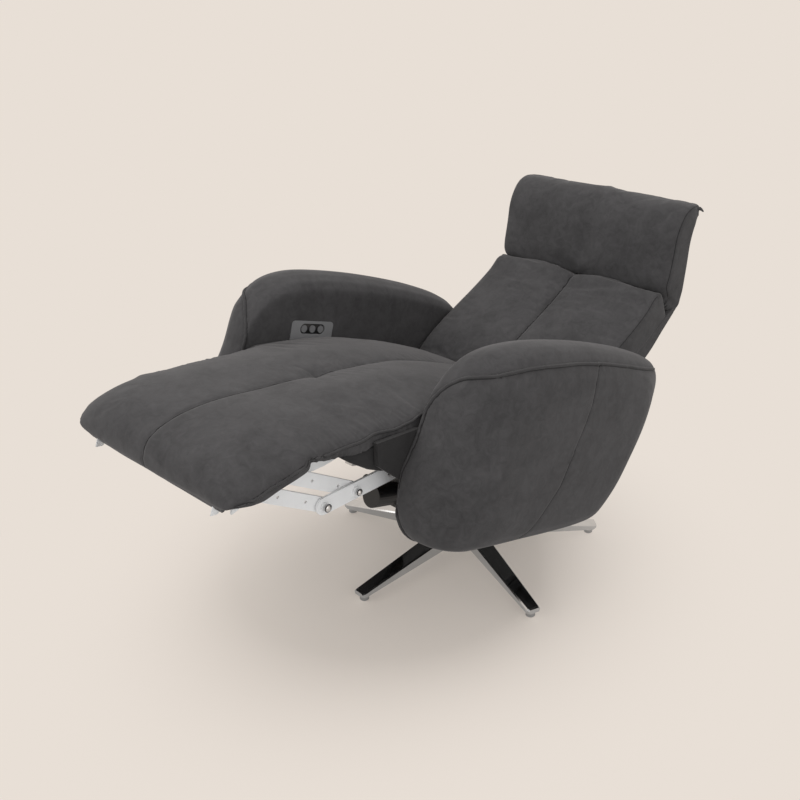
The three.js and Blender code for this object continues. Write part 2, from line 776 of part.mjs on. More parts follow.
// Lift links, bars with their rivets, torque tube with its crank, and the bumpers
function buildLinkage() {
  const half = linkThickness / 2;
  const bore = rivetRadius + runGap;
  const linkOuter = linkX + half;
  const hangerOuter = hangerX + half + runGap;
  const light = [0.7, 0.8].map((share) => between(knee, liftAxis, share));
  const lift = cut(
    join(plate(barShape(knee, liftAxis, linkWidth), linkX, linkThickness),
      rodX(liftPinRadius, linkX - half, hangerOuter + rivetHead / 2, liftAxis),
      rodX(rivetHeadRadius + rivetHead, hangerOuter, hangerOuter + rivetHead, liftAxis)),
    ...holesX(linkX, linkThickness, bore, [knee, upperBolt]),
    ...holesX(linkX, linkThickness, linkHole, light));
  addPair(seat, "lift_link", lift, painted);

  const bar = (near, far) => {
    const outer = linkOuter + runGap;
    const inner = flangeX - half - runGap;
    const holes = [0.25, 0.66].map((share) => between(near, far, share));
    return cut(
      join(plate(barShape(near, far, barWidth), barX, linkThickness),
        rodX(rivetRadius, barX - half, outer + rivetHead / 2, near),
        rodX(rivetHeadRadius, outer, outer + rivetHead, near),
        rodX(rivetRadius, inner - rivetHead / 2, barX + half, far),
        rodX(rivetHeadRadius, inner - rivetHead, inner, far)),
      ...holesX(barX, linkThickness, barHole, holes));
  };
  addPair(seat, "lower_bar", bar(knee, lowerFar), painted);
  addPair(seat, "upper_bar", bar(upperBolt, upperFar), painted);

  const reach = linkX - half - seatGap;
  const crankX = legDriveX - crankOffset;
  const crankAt = { y: legCrankY, z: legCrankZ };
  const tube = join(rodX(torqueRadius, -reach, reach, liftAxis, 24),
    plate(barShape(liftAxis, crankAt, crankWidth), crankX, crankThickness),
    rodX(crankPinRadius, crankX, legDriveX + eyeWidth / 2 + overrun, crankAt));
  add(seat, "torque_tube", tube, darkSteel);
  const stop = between(knee, liftAxis, bumperShare);
  addPair(seat, "link_bumper", rodX(bumperRadius, reach - bumperLength, reach, stop, 24), rubber);
}

// A rod with a slotted eye, its housing, gearbox and motor. The forward sign says where the eye is.
function buildDrive(name, settings) {
  const { x, z, eyeY, gearY, forward, aside, drop, lug, play } = settings;
  const eyeHalf = eyeDepth / 2;
  const start = eyeY - forward * eyeHalf;
  const end = eyeY - forward * rodLength;
  const block = box(x - eyeWidth / 2, x + eyeWidth / 2, eyeY - eyeHalf, eyeY + eyeHalf, z - eyeHeight / 2, z + eyeHeight / 2);
  const rod = rodY(rodRadius, Math.min(start, end) - (forward < 0 ? overrun : 0),
    Math.max(start, end) + (forward > 0 ? overrun : 0), x, z);
  const wide = crankPinRadius + play;
  const slot = box(x - eyeWidth, x + eyeWidth, eyeY - wide, eyeY + wide, z - wide - slotHeight, z + wide + slotHeight);
  add(seat, `${name}_rod`, cut(join(block, rod), slot), silver);

  const boreEnd = driveLength - driveRadius / 2;
  const from = gearY + gearThickness + seatGap;
  const housingOuter = rodY(driveRadius, from, from + driveLength, x, z);
  const bore = forward < 0
    ? rodY(rodRadius + runGap, from - overrun, from + boreEnd, x, z)
    : rodY(rodRadius + runGap, from + driveLength - boreEnd, from + driveLength + overrun, x, z);
  const housing = lug === "housing"
    ? join(housingOuter, box(x - lugWidth / 2, x + lugWidth / 2, frontTubeY - tubeSize / 2,
      frontTubeY + tubeSize / 2, z, frontTubeZ - tubeSize / 2 - seatGap))
    : housingOuter;
  add(seat, `${name}_housing`, cut(housing, bore), silver);

  const motorX = x + aside;
  const motorZ = z - drop;
  const margin = motorRadius + gearMargin;
  const low = Math.min(x - driveRadius, motorX - margin);
  const high = Math.max(x + driveRadius, motorX + margin);
  const gearTop = z + driveRadius;
  let gear = box(low, high, gearY, gearY + gearThickness, motorZ - margin, gearTop);
  if (lug === "gear") {
    gear = join(gear, box(x - lugWidth / 2, x + lugWidth / 2, frontTubeY + tubeSize / 2 + seatGap, gearY + overrun,
      z - lugWidth / 2, z + lugWidth / 2));
  }
  if (forward < 0) {
    gear = cut(gear, rodY(rodRadius + runGap, gearY - overrun, gearY + gearThickness + overrun, x, z));
  }
  add(seat, `${name}_gearbox`, gear, blackPlastic);
  const motorFrom = forward < 0 ? gearY - seatGap - motorLength : from;
  add(seat, `${name}_motor`, rodY(motorRadius, motorFrom, motorFrom + motorLength, motorX, motorZ, 28), blackPlastic);
}

// Seat cushion, leg rest pad, board and flanges
function buildSeatPads() {
  const seatLength = seatRear - seatFront;
  const top = seatTopShares.map(([along, rise]) => [seatFront + seatLength * along, seatBottom + seatCrown * rise]);
  const base = top.map(([y]) => [y, seatBottom]);
  const cushion = pad(base, top, 15, seatHalf, padSection(17, 0.82, 0.13, 0.04));
  add(seat, "seat_cushion", cushion, fabric);

  const place = ([along, rise]) => [legAxis.y - legLength * along, legAxis.z + legRise * rise];
  const section = padSection(17, 0.45, 0.14, 0.05);
  const blank = pad(legUnderShares.map(place), legOverShares.map(place), 18, legHalf, section);
  const relief = rodX(hingeRelief, -legHalf - overrun, legHalf + overrun, legAxis, 20);
  add(seat, "legrest_pad", cut(blank, relief), fabric);

  const [low, high] = legBoardShares.map(place);
  const slope = Math.atan2(high[1] - low[1], high[0] - low[0]);
  const lifted = ([y, z]) => [y - Math.sin(slope) * legBoardThickness, z + Math.cos(slope) * legBoardThickness];
  const board = profile([low, high, lifted(high), lifted(low)]);
  add(seat, "legrest_board", plate(board, 0, legBoardHalf * 2), plywood);

  const flange = cut(
    join(plate(profile(legFlangeShares.map(place)), flangeX, linkThickness),
      ...[[legAxis, hingeBoss], [upperFar, barWidth / 2], [lowerFar, barWidth / 2]].map(([at, radius]) =>
        rodX(radius, flangeX - linkThickness / 2, flangeX + linkThickness / 2, at, 24))),
    ...holesX(flangeX, linkThickness, rivetRadius + runGap, [legAxis, upperFar, lowerFar]));
  addPair(seat, "legrest_flange", flange, painted);
}

// Back panel with its pivots, headrest ears and crank, the cushion in front and the shell behind
function buildBack() {
  const pivot = { y: 0, z: 0 };
  const thickness = panelRear - panelFront;
  const crankX = backDriveX + crankOffset;
  const crankRoot = { y: 0, z: panelBottom + crankWidth };
  const crankAt = { y: backCrankBehind, z: backCrankUp };
  const earRoot = { y: 0, z: panelTop - earWidth };
  const ears = [-1, 1].map((side) => plate(barShape(earRoot, headAxis, earWidth), side * earX, earThickness));
  const pivotEnd = boardOuter - seatGap;
  const bores = [-1, 1].flatMap((side) => holesX(side * earX, earThickness, headBarRadius + seatGap, [headAxis]));
  const holes = [-0.5, 0, 0.5].flatMap((share) => [0, 1].map((row) =>
    rodY(panelHole, panelFront - overrun, panelRear + overrun, share * panelHalf * 1.3,
      panelHoleFirst + panelHoleRise * row, 12)));
  const frame = cut(
    join(box(-panelHalf, panelHalf, panelFront, panelRear, panelBottom, panelTop),
      rodX(pivotRadius, -pivotEnd, pivotEnd, pivot),
      plate(barShape(crankRoot, crankAt, crankWidth), crankX, crankThickness),
      rodX(crankPinRadius, backDriveX - eyeWidth / 2 - overrun, crankX, crankAt), ...ears),
    ...holes, ...bores);
  add(back, "back_frame", frame, plywood);
  add(back, "headrest_bar", rodX(headBarRadius, -headBarHalf, headBarHalf, headAxis), silver);

  const wide = backHalf + overrun;
  const notch = rodX(backNotch, -wide, wide, headAxis, 32);
  const bearing = rodX(pivotRadius + runGap, -wide, wide, pivot);
  const pocket = box(-panelHalf - seatGap, panelHalf + seatGap, panelFront - seatGap, panelRear + seatGap,
    panelBottom * 2, backTop + headDepth);
  const front = backFrontShares.map(([rise, out]) => [-cushionDepth * out, backTop * rise]);
  const frontBase = front.map(([, z]) => [-seatGap / 2, z]);
  const cushion = pad(frontBase, front, 13, backHalf, padSection(17, 0.8, 0.12, 0.03));
  const earSlots = [-1, 1].map((side) =>
    plate(barShape(earRoot, headAxis, earWidth + seatGap * 4), side * earX, earThickness + seatGap * 2));
  add(back, "back_cushion", cut(cushion, notch, bearing, pocket, ...earSlots), fabric);

  const rear = backRearShares.map(([rise, out]) => [shellDepth * out, shellTop * rise]);
  const rearBase = rear.map(([, z]) => [seatGap / 2, z]);
  const skin = pad(rearBase, rear, 13, backHalf, padSection(13, 0.86, 0, 0.02));
  const inner = backRearShares.slice(0, -1).map(([rise, out], i) =>
    [shellDepth * out - shellWall, i ? Math.min(shellTop * rise, shellHollowTop) : backBottom * 2]);
  const innerBase = inner.map(([, z]) => [-overrun, z]);
  const hollow = pad(innerBase, inner, 9, backHalf - shellWall * 1.5, padSection(9, 0.9, 0, 0.01));
  add(back, "back_shell", cut(skin, hollow, notch, bearing, pocket), fabric);
}

// Headrest: a core board with a barrel on the bar, inside a cushion that is open below
function buildHeadrest() {
  const axis = { y: 0, z: 0 };
  const blank = join(box(-coreHalf, coreHalf, -coreThickness / 2, coreThickness / 2, 0, coreTop),
    rodX(barrelRadius, -coreHalf, coreHalf, axis, 24));
  const barBore = (reach, gap) => rodX(headBarRadius + gap, -reach, reach, axis);
  add(head, "headrest_core", cut(blank, barBore(coreHalf + overrun, runGap)), plywood);

  const front = headFrontShares.map(([rise, out]) => [headDepth * out, headHeight * rise]);
  const rear = headRearShares.map(([rise, out]) => [headDepth * out, headHeight * rise]);
  const cushion = pad(rear, front, 15, headHalf, padSection(17, 0.8, 0.1, 0.03));
  const fit = coreHalf + seatGap;
  const depth = coreThickness / 2 + seatGap;
  const reach = backNotch * 1.3;
  const wedge = profile([
    [earWidth * 0.6, earWidth * 0.6], [earWidth * 1.4, -reach], [-reach, -reach],
    [-reach, -earWidth], [-earWidth * 0.6, earWidth * 0.6],
  ]);
  const slots = [-1, 1].map((side) => plate(wedge, side * earX, earThickness + runGap * 4));
  add(head, "headrest_cushion", cut(cushion, ...slots, barBore(headBarHalf + overrun, runGap),
    rodX(barrelRadius + seatGap, -fit, fit, axis, 24),
    box(-fit, fit, -depth, depth, -reach, coreTop + seatGap)), fabric);
}

// Arms, with a pocket for the control plate in the right one
function armSolid() {
  const length = armRear - armFront;
  const height = armTop - armBottom;
  const rings = armInsetShares.map(([across, front, rear, bottom, top]) => {
    const y0 = armFront + armRound * front;
    const y1 = armRear - armRound * rear;
    const z0 = armBottom + armRound * bottom;
    const z1 = armTop - armRound * top;
    const points = armShares.map(([along, rise]) =>
      new THREE.Vector3(armInner + armWidth * across, y0 + (y1 - y0) * along, z0 + (z1 - z0) * rise));
    const curve = new THREE.CatmullRomCurve3(points, true, "centripetal");
    return curve.getPoints(armPoints).slice(0, -1).map((point) => point.toArray());
  });
  if (length <= 0 || height <= 0) throw new Error("the arm has no size");
  return loft(rings);
}

function buildArms() {
  add(seat, "left_arm", armSolid(), fabric);
  const r = controlCorner;
  const outline = (halfY, halfZ, radius) => {
    const shape = new THREE.Shape();
    const [a, b] = [halfY - radius, halfZ - radius];
    shape.absarc(controlY + a, controlZ + b, radius, 0, Math.PI / 2, false);
    shape.absarc(controlY - a, controlZ + b, radius, Math.PI / 2, Math.PI, false);
    shape.absarc(controlY - a, controlZ - b, radius, Math.PI, Math.PI * 1.5, false);
    shape.absarc(controlY + a, controlZ - b, radius, Math.PI * 1.5, Math.PI * 2, false);
    return shape;
  };
  const plateCentre = -(controlInner + controlThickness / 2);
  const body = plate(outline(controlLength / 2, controlHeight / 2, r), plateCentre, controlThickness, 5);
  const buttons = [-1, 0, 1].map((i) => ({ y: controlY + buttonPitch * i, z: buttonZ }));
  const face = -controlInner;
  const recessRadius = buttonRadius + recessMargin;
  const recess = [
    box(face - recessDepth, face + overrun, controlY - buttonPitch, controlY + buttonPitch,
      buttonZ - recessRadius, buttonZ + recessRadius),
    ...[buttons[0], buttons[2]].map((at) => rodX(recessRadius, face - recessDepth, face + overrun, at, 20)),
  ];
  const wells = buttons.map((at) =>
    rodX(buttonRadius + runGap, face - controlThickness - overrun, face + overrun, at, 16));
  add(seat, "control_plate", cut(body, ...recess, ...wells), silver);
  buttons.forEach((at, i) => {
    const front = face - seatGap;
    add(seat, `button_${i + 1}`, rodX(buttonRadius, front - buttonLength, front, at, 16), silver);
  });
  const fit = outline(controlLength / 2 + seatGap, controlHeight / 2 + seatGap, r + seatGap);
  const deep = controlProud + controlThickness + seatGap;
  const pocket = plate(fit, face + overrun - deep / 2, deep, 5);
  const pits = buttons.map((at) =>
    rodX(buttonRadius + runGap, face - seatGap - buttonLength - buttonTravel - runGap, face, at, 16));
  add(seat, "right_arm", cut(mirrored(armSolid()), pocket, ...pits), fabric);
}

buildBase();
buildPedestal();
buildTurntable();
buildRockers();
buildSeatBox();
buildHangers();
buildLinkage();
buildDrive("legrest_actuator", {
  x: legDriveX, z: legRodZ, eyeY: legCrankY, gearY: legGearY, forward: -1,
  aside: legMotorAside, drop: legMotorDrop, lug: "housing", play: legCrankPlay,
});
buildDrive("back_actuator", {
  x: backDriveX, z: backRodZ, eyeY: backRodEyeY, gearY: backGearY, forward: 1,
  aside: -backMotorAside, drop: backMotorDrop, lug: "gear", play: backCrankPlay,
});
buildSeatPads();
buildBack();
buildHeadrest();
buildArms();

export default recliner;
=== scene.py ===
"""Star base swivel recliner in charcoal microfibre, dressed for rendering around its CAD frame."""
import math

import bmesh
import bpy
import numpy as np
from mathutils import Matrix, Vector
from mathutils.bvhtree import BVHTree
from mathutils.kdtree import KDTree


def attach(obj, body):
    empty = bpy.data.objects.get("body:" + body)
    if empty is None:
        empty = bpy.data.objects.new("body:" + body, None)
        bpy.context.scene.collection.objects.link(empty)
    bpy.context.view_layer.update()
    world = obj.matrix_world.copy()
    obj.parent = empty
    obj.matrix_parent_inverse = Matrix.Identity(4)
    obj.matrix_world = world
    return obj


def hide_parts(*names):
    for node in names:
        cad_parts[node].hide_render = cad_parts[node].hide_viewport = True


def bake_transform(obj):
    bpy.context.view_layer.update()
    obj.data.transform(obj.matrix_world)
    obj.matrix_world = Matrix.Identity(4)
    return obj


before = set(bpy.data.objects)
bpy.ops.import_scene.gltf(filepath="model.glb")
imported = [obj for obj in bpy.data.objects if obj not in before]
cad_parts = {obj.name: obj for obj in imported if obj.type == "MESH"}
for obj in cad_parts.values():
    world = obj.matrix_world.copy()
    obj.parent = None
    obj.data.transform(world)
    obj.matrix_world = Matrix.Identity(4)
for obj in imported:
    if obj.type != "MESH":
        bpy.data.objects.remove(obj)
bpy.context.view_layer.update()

MM = 0.001

# The chair's places are given in millimetres in the level seat's frame, as in the CAD source:
# (across, towards the rear, up), with the swivel axis at the origin
AXIS_BEHIND = 121.3  # the swivel axis behind the middle of the open chair
POLE = (102.0, 718.0)  # centre of the rocker slots
TILT = math.radians(17.5)
BACK_AXIS = (238.0, 413.0)
BACK_LEAN = math.radians(48)
HEAD_AXIS = (505.28, 681.52)
HEAD_LEAN = math.radians(6)


def turned(y, z, angle):
    """A point of the side view turned about the origin."""
    return y * math.cos(angle) - z * math.sin(angle), y * math.sin(angle) + z * math.cos(angle)


def on_seat(x, y, z):
    """Where a point of the level seat lies in the frame, in metres, with the seat tilted back."""
    dy, dz = turned(y - POLE[0], z - POLE[1], -TILT)
    return Vector((x, POLE[0] + dy + AXIS_BEHIND, POLE[1] + dz)) * MM


def on_back(x, y, z):
    """The same for a point of the back, measured from its hinge and up along it."""
    dy, dz = turned(y, z, -BACK_LEAN)
    return on_seat(x, BACK_AXIS[0] + dy, BACK_AXIS[1] + dz)


def on_head(x, y, z):
    """The same for a point of the headrest, measured from its pivot bar."""
    dy, dz = turned(y, z, -HEAD_LEAN)
    return on_seat(x, HEAD_AXIS[0] + dy, HEAD_AXIS[1] + dz)


# Camera, as the photograph was taken

CAMERA_TURN, CAMERA_TIP = math.radians(41.97), math.radians(25.48)
CAMERA_AIM = (-103.5, 186.85, 345)
CAMERA_REACH = 2.4288  # metres from the point it aims at
SENSOR = 36
FOCUS = 972.5 / 800  # focal length as a share of the picture's width


def place_camera():
    turn, tip = CAMERA_TURN, CAMERA_TIP
    ahead = Vector((-math.sin(turn) * math.cos(tip), math.cos(turn) * math.cos(tip), -math.sin(tip)))
    right = Vector((math.cos(turn), math.sin(turn), 0))
    up = right.cross(ahead)
    spot = Vector(CAMERA_AIM) * MM - ahead * CAMERA_REACH
    data = bpy.data.cameras.new("camera")
    data.sensor_width = SENSOR
    data.lens = SENSOR * FOCUS
    data.shift_x = -0.0625
    data.clip_end = 200
    camera = bpy.data.objects.new("camera", data)
    axes = Matrix((right, up, -ahead)).transposed().to_4x4()
    camera.matrix_world = Matrix.Translation(spot) @ axes
    bpy.context.scene.collection.objects.link(camera)
    bpy.context.scene.camera = camera


# Finishes

class Amount:
    """A varying number in a finish, for plain sums and products."""

    def __init__(self, finish, socket):
        self.finish, self.socket = finish, socket

    def _maths(self, operation, first, second):
        return self.finish.node("ShaderNodeMath", {"operation": operation}, {0: first, 1: second})

    def __add__(self, other):
        return self._maths("ADD", self, other)

    def __radd__(self, other):
        return self._maths("ADD", other, self)

    def __sub__(self, other):
        return self._maths("SUBTRACT", self, other)

    def __rsub__(self, other):
        return self._maths("SUBTRACT", other, self)

    def __mul__(self, other):
        return self._maths("MULTIPLY", self, other)

    def __rmul__(self, other):
        return self._maths("MULTIPLY", other, self)

    def __pow__(self, other):
        return self._maths("POWER", self, other)

    def held(self):
        """The same, kept from 0 to 1."""
        return self.finish.node("ShaderNodeClamp", {}, {"Value": self})


class Finish:
    """The nodes of one material, built up by its maker."""

    def __init__(self, name, tree=None):
        if tree is None:
            self.material = bpy.data.materials.new(name)
            self.material.use_nodes = True
            tree = self.material.node_tree
        self.tree = tree
        tree.nodes.clear()

    def node(self, kind, settings, inputs, output=0):
        made = self.tree.nodes.new(kind)
        for key, value in settings.items():
            setattr(made, key, value)
        for key, value in inputs.items():
            if isinstance(value, Amount):
                self.tree.links.new(value.socket, made.inputs[key])
            else:
                made.inputs[key].default_value = value
        return Amount(self, made.outputs[output]) if len(made.outputs) else None

    def place(self):
        return self.node("ShaderNodeTexCoord", {}, {}, "Object")

    def stretched(self, scale):
        return self.node("ShaderNodeMapping", {}, {"Vector": self.place(), "Scale": scale})

    def clouds(self, scale, detail=3.0, rough=0.55, bent=0.0, where=None):
        inputs = {"Vector": where or self.place(), "Scale": scale, "Detail": detail,
                  "Roughness": rough, "Distortion": bent}
        return self.node("ShaderNodeTexNoise", {}, inputs)

    def colour(self, share, first, second):
        made = self.tree.nodes.new("ShaderNodeMix")
        made.data_type = "RGBA"
        for key, value in (("A", (*first, 1)), ("B", (*second, 1))):
            socket = next(s for s in made.inputs if s.name == key and s.type == "RGBA")
            socket.default_value = value
        self.tree.links.new(share.socket, made.inputs[0])
        return Amount(self, next(s for s in made.outputs if s.type == "RGBA"))

    def relief(self, height, strength, depth):
        return self.node("ShaderNodeBump", {}, {"Strength": strength, "Distance": depth, "Height": height})

    def surface(self, **inputs):
        named = {key.replace("_", " "): value for key, value in inputs.items()}
        shader = self.node("ShaderNodeBsdfPrincipled", {}, named)
        self.node("ShaderNodeOutputMaterial", {}, {"Surface": shader})
        return self.material


def microfibre(name, dark, light):
    f = Finish(name)
    cloud = f.clouds(11, 5, 0.62, 0.7)
    nap = f.clouds(46, 6, 0.68, 1.1)
    grain = f.clouds(1500, 2, 0.6)
    brushed = (0.44 * cloud + 0.5 * nap + 0.16 * grain - 0.05).held()
    height = 0.6 * grain + 0.5 * f.clouds(260, 3, 0.6)
    return f.surface(
        Base_Color=f.colour(((brushed - 0.5) * 2.3 + 0.5).held(), dark, light),
        Roughness=0.86 + 0.1 * nap, Sheen_Weight=0.16, Sheen_Roughness=0.45,
        Sheen_Tint=(0.9, 0.88, 0.88, 1), Specular_IOR_Level=0.2,
        Normal=f.relief(height, 0.35, 0.0005))


def chromed(name):
    f = Finish(name)
    haze = f.clouds(60, 4)
    return f.surface(Base_Color=f.colour(haze, (0.56, 0.565, 0.57), (0.66, 0.665, 0.67)), Metallic=1.0,
                     Roughness=0.05 + 0.06 * haze, Normal=f.relief(f.clouds(18, 2), 0.05, 0.0006))


def painted(name, tone, rough, grain=700):
    f = Finish(name)
    speck = f.clouds(grain, 3)
    dust = f.clouds(22, 4, 0.6)
    return f.surface(Base_Color=f.colour(dust, [c * 0.9 for c in tone], tone),
                     Roughness=rough + 0.12 * dust, Normal=f.relief(speck, 0.18, 0.0003))


def brushed(name, tone, rough):
    f = Finish(name)
    lines = f.clouds(90, 4, 0.6, 0, f.stretched((30, 1.2, 14)))
    return f.surface(Base_Color=f.colour(lines, [c * 0.85 for c in tone], tone), Metallic=0.9,
                     Roughness=rough + 0.14 * lines, Normal=f.relief(lines, 0.12, 0.0003))


def layered_wood(name):
    f = Finish(name)
    grain = f.clouds(40, 5, 0.6, 1.2, f.stretched((1, 9, 9)))
    layers = f.node("ShaderNodeTexWave", {"bands_direction": "Z"},
                    {"Vector": f.place(), "Scale": 120.0, "Distortion": 1.5, "Detail": 2.0}, "Fac")
    share = (0.7 * grain + 0.3 * layers).held()
    return f.surface(Base_Color=f.colour(share, (0.36, 0.22, 0.11), (0.62, 0.44, 0.25)), Roughness=0.72,
                     Normal=f.relief(grain, 0.3, 0.0006))


def woven(name, tone):
    f = Finish(name)
    warp = f.node("ShaderNodeTexWave", {"bands_direction": "X"}, {"Vector": f.place(), "Scale": 130.0}, "Fac")
    weft = f.node("ShaderNodeTexWave", {"bands_direction": "Y"}, {"Vector": f.place(), "Scale": 130.0}, "Fac")
    weave = warp * weft
    return f.surface(Base_Color=f.colour(weave, [c * 0.6 for c in tone], tone), Roughness=0.85,
                     Normal=f.relief(weave, 0.6, 0.0006))


SUEDE = microfibre("charcoal microfibre", (0.034, 0.033, 0.0337), (0.079, 0.0765, 0.078))
PIPING = microfibre("piping microfibre", (0.034, 0.033, 0.0337), (0.066, 0.064, 0.065))
# A darker cloth that is painted shade: it darkens the seam lines, the groove beside the piping, the chaise's
# skirts and the side boards, where shade falls
PAINTED_SHADE_CLOTH = microfibre("painted shade cloth", (0.016, 0.0157, 0.016), (0.03, 0.0292, 0.0297))
CHROME = chromed("polished chrome")
WHITE = painted("white enamel", (0.88, 0.885, 0.885), 0.4)
PLATE = painted("control plate", (0.24, 0.24, 0.245), 0.36)
DARK = painted("dark enamel", (0.035, 0.036, 0.038), 0.42)
BLACK = painted("black moulding", (0.012, 0.012, 0.013), 0.38, 1400)
RUBBER = painted("soft rubber", (0.018, 0.018, 0.019), 0.62, 1100)
SILVER = brushed("brushed silver", (0.42, 0.425, 0.43), 0.3)
GREY_BUTTON = painted("grey button", (0.2, 0.2, 0.205), 0.4, 1200)
BRIGHT = brushed("bright steel", (0.62, 0.62, 0.62), 0.22)
WOOD = layered_wood("raw plywood")
WEBBING = woven("elastic webbing", (0.03, 0.03, 0.032))


# Making of forms

SEAM_STEP, CORD_STEP = 2 * MM, 4 * MM


def run_of(points):
    """How far along a line each of its points lies."""
    return np.concatenate([[0], np.cumsum(np.linalg.norm(np.diff(points, axis=0), axis=1))])


def spaced(line, count):
    """Evenly spaced points along a line."""
    points = np.array([tuple(p) for p in line], float)
    run = run_of(points)
    at = np.linspace(0, run[-1], count)
    return np.stack([np.interp(at, run, points[:, i]) for i in range(points.shape[1])], axis=1)


def stepped(line, step):
    """Evenly spaced points along a line, about a step apart."""
    return spaced(line, max(int(run_of(np.array(line, float))[-1] / step), 8))


def smooth_line(points, count, closed=False):
    """Evenly spaced points on a smooth curve through the given ones."""
    p = np.array([tuple(q) for q in points], float)
    ends = (p[-1:], p[:2]) if closed else (2 * p[0] - p[1], 2 * p[-1] - p[-2])
    ring = np.vstack([ends[0], p, ends[1]])
    dense = []
    for a, b, c, d in zip(ring, ring[1:], ring[2:], ring[3:]):
        for t in np.linspace(0, 1, 16, endpoint=False):
            dense.append(0.5 * (2 * b + (c - a) * t + (2 * a - 5 * b + 4 * c - d) * t * t
                                + (3 * b - a - 3 * c + d) * t ** 3))
    dense.append(ring[-2])
    return spaced(dense, count + 1)[:-1] if closed else spaced(dense, count)


def eased(table, at):
    """Values of a table of (place, value, ...) rows, eased between its rows."""
    rows = np.array(table, float)
    at = np.clip(at, rows[0, 0], rows[-1, 0])
    k = min(max(int(np.searchsorted(rows[:, 0], at, side="right")) - 1, 0), len(rows) - 2)
    t = (at - rows[k, 0]) / (rows[k + 1, 0] - rows[k, 0])
    t = t * t * (3 - 2 * t) * 0.5 + t * 0.5
    return rows[k, 1:] + (rows[k + 1, 1:] - rows[k, 1:]) * t


def new_piece(name, points, faces, finish):
    mesh = bpy.data.meshes.new(name)
    mesh.from_pydata([tuple(p) for p in points], [], faces)
    piece = bpy.data.objects.new(name, mesh)
    bpy.context.scene.collection.objects.link(piece)
    mesh.materials.append(finish)
    form = bmesh.new()
    form.from_mesh(mesh)
    bmesh.ops.recalc_face_normals(form, faces=form.faces)
    form.to_mesh(mesh)
    form.free()
    mesh.polygons.foreach_set("use_smooth", [True] * len(mesh.polygons))
    return piece


def skin(name, rings, finish):
    """A closed form over rings of points, all with the same count."""
    count = len(rings[0])
    points = [p for ring in rings for p in ring]
    faces = []
    for low in range(0, len(points) - count, count):
        high = low + count
        faces += [(low + i, low + (i + 1) % count, high + (i + 1) % count, high + i) for i in range(count)]
    faces.append(tuple(range(count - 1, -1, -1)))
    faces.append(tuple(range(len(points) - count, len(points))))
    return new_piece(name, points, faces, finish)


# Points of a pad's section: across its top, down each side, and across its underside
TOP, SIDE, UNDER = 73, 7, 31
SHOULDER = 0.62  # a lower power makes a pad's shoulders fuller
CHANNEL = 2.1  # a higher power makes the channel along its middle sharper
LIP_INSIDE, LIP_RUN = 0.77, 0.07  # where the lip under a pad's sides starts, and how far it takes to deepen
PAD_STEP = 5.5
END_CORNER = 9  # the most that a pad's end draws in sideways
END_RINGS = 6


def across_pad(welt, channel, tuck, bulge, lip, spread, full):
    """The section of a pad: shares of the half width, and of the way from its base to its crown."""
    section = []
    for u in np.linspace(-1, 1, TOP):
        rise = welt + (1 - welt) * max(1 - abs(u) ** full, 0) ** SHOULDER
        section.append((u, rise - channel * max(1 - abs(u) / spread, 0) ** CHANNEL))
    down = [(1 - tuck * t + bulge * math.sin(math.pi * t), welt * (1 - t) - lip * t)
            for t in np.linspace(0, 1, SIDE + 2)[1:-1]]
    under = [(u, -lip * min(max((abs(u) - LIP_INSIDE) / LIP_RUN, 0), 1))
             for u in np.linspace(1 - tuck, tuck - 1, UNDER)]
    return section + down + under + [(-u, s) for u, s in down[::-1]]


def pad(name, base, crown, widths, sections, place, ends, step=PAD_STEP, spread=0.42, full=3.4, drawn=None,
        fill=4.0, plump=None):
    """A stuffed pad between its base line and its crown line in the side view, and its seam lines.

    widths and sections run along the pad, drawn shifts a section's points along it, and plump is the share
    of the stuffing's swell that each row of points keeps.
    """
    count = int(run_of(np.array(crown, float))[-1] / step)
    shares = np.linspace(0, 1, count)
    low, high = smooth_line(base, count), smooth_line(crown, count)
    rings = []
    for share in shares:
        half = float(eased(widths, share)[0])
        section = across_pad(*eased(sections, share), spread, full)
        u, s = np.array(section).T
        at = share + (drawn(u, share) if drawn else 0 * u)
        sides = [np.interp(at, shares, low[:, i]) * (1 - s) + np.interp(at, shares, high[:, i]) * s
                 for i in (0, 1)]
        rings.append(np.stack([u * half, *sides], axis=1))
    columns = {"right": 0, "middle": TOP // 2, "left": TOP - 1}
    lines = {key: [place(*ring[i]) for ring in rings] for key, i in columns.items()}
    rings = rounded_end(rings, ends[0], False) + rings + rounded_end(rings, ends[1], True)
    piece = skin(name, [[place(*p) for p in ring] for ring in rings], SUEDE)
    row, column = np.divmod(np.arange(len(piece.data.vertices)), len(rings[0]))
    held = (column >= columns["left"]) | (column == columns["right"]) | (column == columns["middle"])
    return stuffed(piece, held, fill, plump(row / len(rings)) if plump else 1.0), lines


def rounded_end(rings, radius, at_last):
    """Rings that close a pad's end with a round edge."""
    edge, inner = (rings[-1], rings[-3]) if at_last else (rings[0], rings[2])
    out = (edge.mean(axis=0) - inner.mean(axis=0))
    out /= np.linalg.norm(out)
    centre = edge.mean(axis=0)
    thick = np.array([0, -out[2], out[1]])
    off = edge - centre
    x, h = off[:, 0], off @ thick
    made = []
    for angle in np.linspace(0, math.pi / 2, END_RINGS + 1)[1:]:
        inset, reach = radius * (1 - math.cos(angle)), radius * math.sin(angle)
        x2 = np.sign(x) * np.maximum(np.abs(x) - inset * min(END_CORNER / radius, 1), 0)
        h2 = np.sign(h) * np.maximum(np.abs(h) - inset, 0)
        made.append(centre + np.outer(x2 - x, [1, 0, 0]) + np.outer(h2 - h, thick) + off + out * reach)
    return made if at_last else made[::-1]


